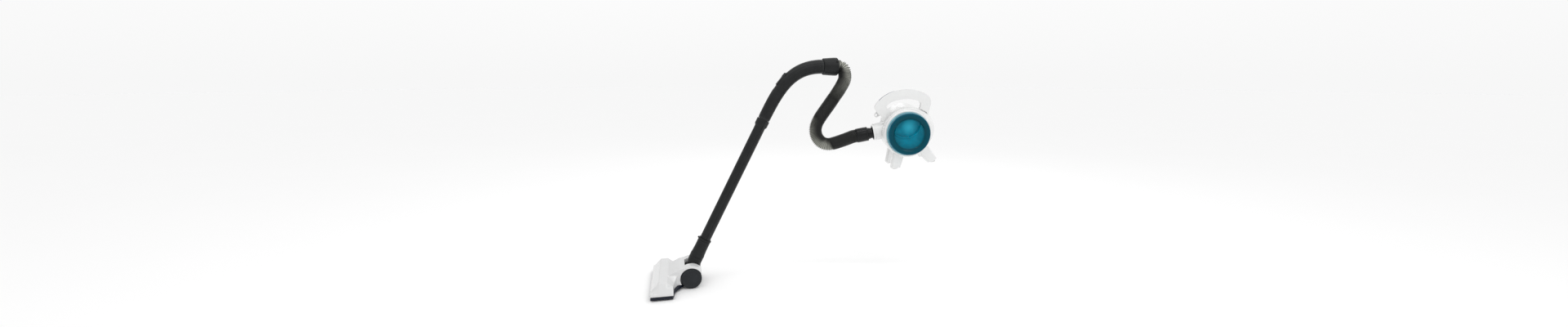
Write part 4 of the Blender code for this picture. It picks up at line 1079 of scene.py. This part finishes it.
def wheels():
    for name, side in (("wheel_left", -1), ("wheel_right", 1)):
        turn = TURN_X if side < 0 else TURN_BACK
        profile = [(0.0, WHEEL_OUT - 1.0), (22.0, WHEEL_OUT - 1.0, 1.0), (23.5, WHEEL_OUT - 0.1, 0.8),
                   (WHEEL_R - 2.2, WHEEL_OUT, 1.0), (WHEEL_R, WHEEL_OUT - 2.5, 1.5), (WHEEL_R, 46.6, 0.2),
                   (WHEEL_R - 0.6, 46.2, 0.2), (WHEEL_R - 0.6, 44.0, 0.2), (WHEEL_R, 43.6, 0.2),
                   (WHEEL_R, WHEEL_IN + 1.5, 0.6), (WHEEL_R - 1.5, WHEEL_IN, 0.6), (12.0, WHEEL_IN, 1.0),
                   (11.0, WHEEL_IN + 2.0, 1.0), (4.0, WHEEL_IN + 2.0), (0.0, WHEEL_IN + 2.0)]
        disc = turned(rounded(profile, 0.4, 4, closed=False), 128)
        piece(name + "_disc", moved(disc, turn), SLATE, name, WAND, [name])


# ------------------------------------------------------------------ carried-over CAD nodes
def dress_nodes():
    """Gives each CAD node that stays visible its finished material."""
    by_slot = {"white_plastic": WHITE, "teal_clear": TEAL, "black_plastic": BLACK, "slate_plastic": SLATE,
               "switch_blue": BLUE, "hose_plastic": HOSE, "rubber": RUBBER, "pad_rubber": PAD,
               "steel": STEEL, "filter_paper": PAPER, "bristle": NYLON}
    for part in frame["record"]["subparts"]:
        node = NODES[part["node"]]
        node.data.materials.clear()
        node.data.materials.append(by_slot[part["material_slot"]])


# ------------------------------------------------------------------ stage, light, camera
def stage():
    rings = [[(x, y, 0) for x, y in arc(0, 0, r, 0, 360 - 360 / 64, 63)] for r in (30000.0, 3000.0, 600.0)]
    floor = skin(rings + [[(0, 0, 0)]], caps=False)
    mesh = bpy.data.meshes.new("floor")
    floor.to_mesh(mesh)
    floor.free()
    mesh.transform(Matrix.Translation((0, 0, FLOOR_Z)) @ Matrix.Scale(MM, 4))
    plane = bpy.data.objects.new("floor", mesh)
    SCENE.collection.objects.link(plane)
    mat, tree, shader = shader_of("pale_floor", (0.96, 0.96, 0.96), 0.7, specular=0.0)
    tone = mixed(tree, noise(tree, 400.0), (0.955, 0.955, 0.955), (0.965, 0.965, 0.965))
    tree.links.new(tone, shader.inputs["Base Color"])
    mesh.materials.append(mat)


def softbox(name, at, aim, size, power):
    data = bpy.data.lights.new(name, "AREA")
    data.shape = "RECTANGLE"
    data.size, data.size_y = size
    data.energy = power
    lamp = bpy.data.objects.new(name, data)
    lamp.location = at
    lamp.rotation_euler = (Vector(aim) - Vector(at)).to_track_quat("-Z", "Y").to_euler()
    SCENE.collection.objects.link(lamp)


def light():
    world = bpy.data.worlds.new("studio")
    world.use_nodes = True
    SCENE.world = world
    tree = world.node_tree
    back = tree.nodes["Background"]
    coords = tree.nodes.new("ShaderNodeTexCoord")
    split = tree.nodes.new("ShaderNodeSeparateXYZ")
    tree.links.new(coords.outputs["Generated"], split.inputs["Vector"])
    height = mapped(tree, split.outputs["Z"], -0.1, 0.9, 0.0, 1.0)
    across = mapped(tree, split.outputs["X"], -0.8, 0.8, 0.0, 1.0)
    left = mixed(tree, height, (0.56, 0.56, 0.56), (1.02, 1.02, 1.02))
    right = mixed(tree, height, (0.82, 0.82, 0.82), (1.10, 1.10, 1.10))
    sky = mixed(tree, across, left, right)
    rise = mapped(tree, split.outputs["Z"], 0.0, 0.2, 0.0, 1.0)
    backdrop = mixed(tree, rise, (0.93, 0.93, 0.93), (0.985, 0.985, 0.985))
    ray = tree.nodes.new("ShaderNodeLightPath")
    tree.links.new(mixed(tree, ray.outputs["Is Camera Ray"], sky, backdrop), back.inputs["Color"])
    softbox("key_light", (0.7, -1.9, 1.5), (-0.25, 0, -0.2), (1.2, 0.5), 5.0)
    softbox("strip_light", (-0.3, -0.5, 1.7), (-0.3, 0, -0.2), (2.0, 0.12), 6.0)
    softbox("back_light", (0.2, 1.9, 1.2), (-0.3, 0, -0.2), (1.6, 1.0), 4.0)
    SCENE.view_settings.view_transform = "Standard"


def camera():
    data = bpy.data.cameras.new("camera")
    data.sensor_width = 36.0
    data.lens = 11.294
    data.clip_start, data.clip_end = 0.05, 100.0
    eye = bpy.data.objects.new("camera", data)
    eye.location = (-0.3468, -1.47721, 0.05207)
    eye.rotation_euler = (math.radians(80.0), 0.0, 0.0)
    SCENE.collection.objects.link(eye)
    SCENE.camera = eye


camera()
stage()
light()
dress_nodes()
hose()
hose_cuff()
front_shell()
rear_shell()
inlet_socket()
dust_cup()
pleats()
handle()
strap_eye()
legs()
exhaust()
cord_gland()
grip()
sleeve()
wand()
elbow()
head_shell()
head_sole()
wheels()
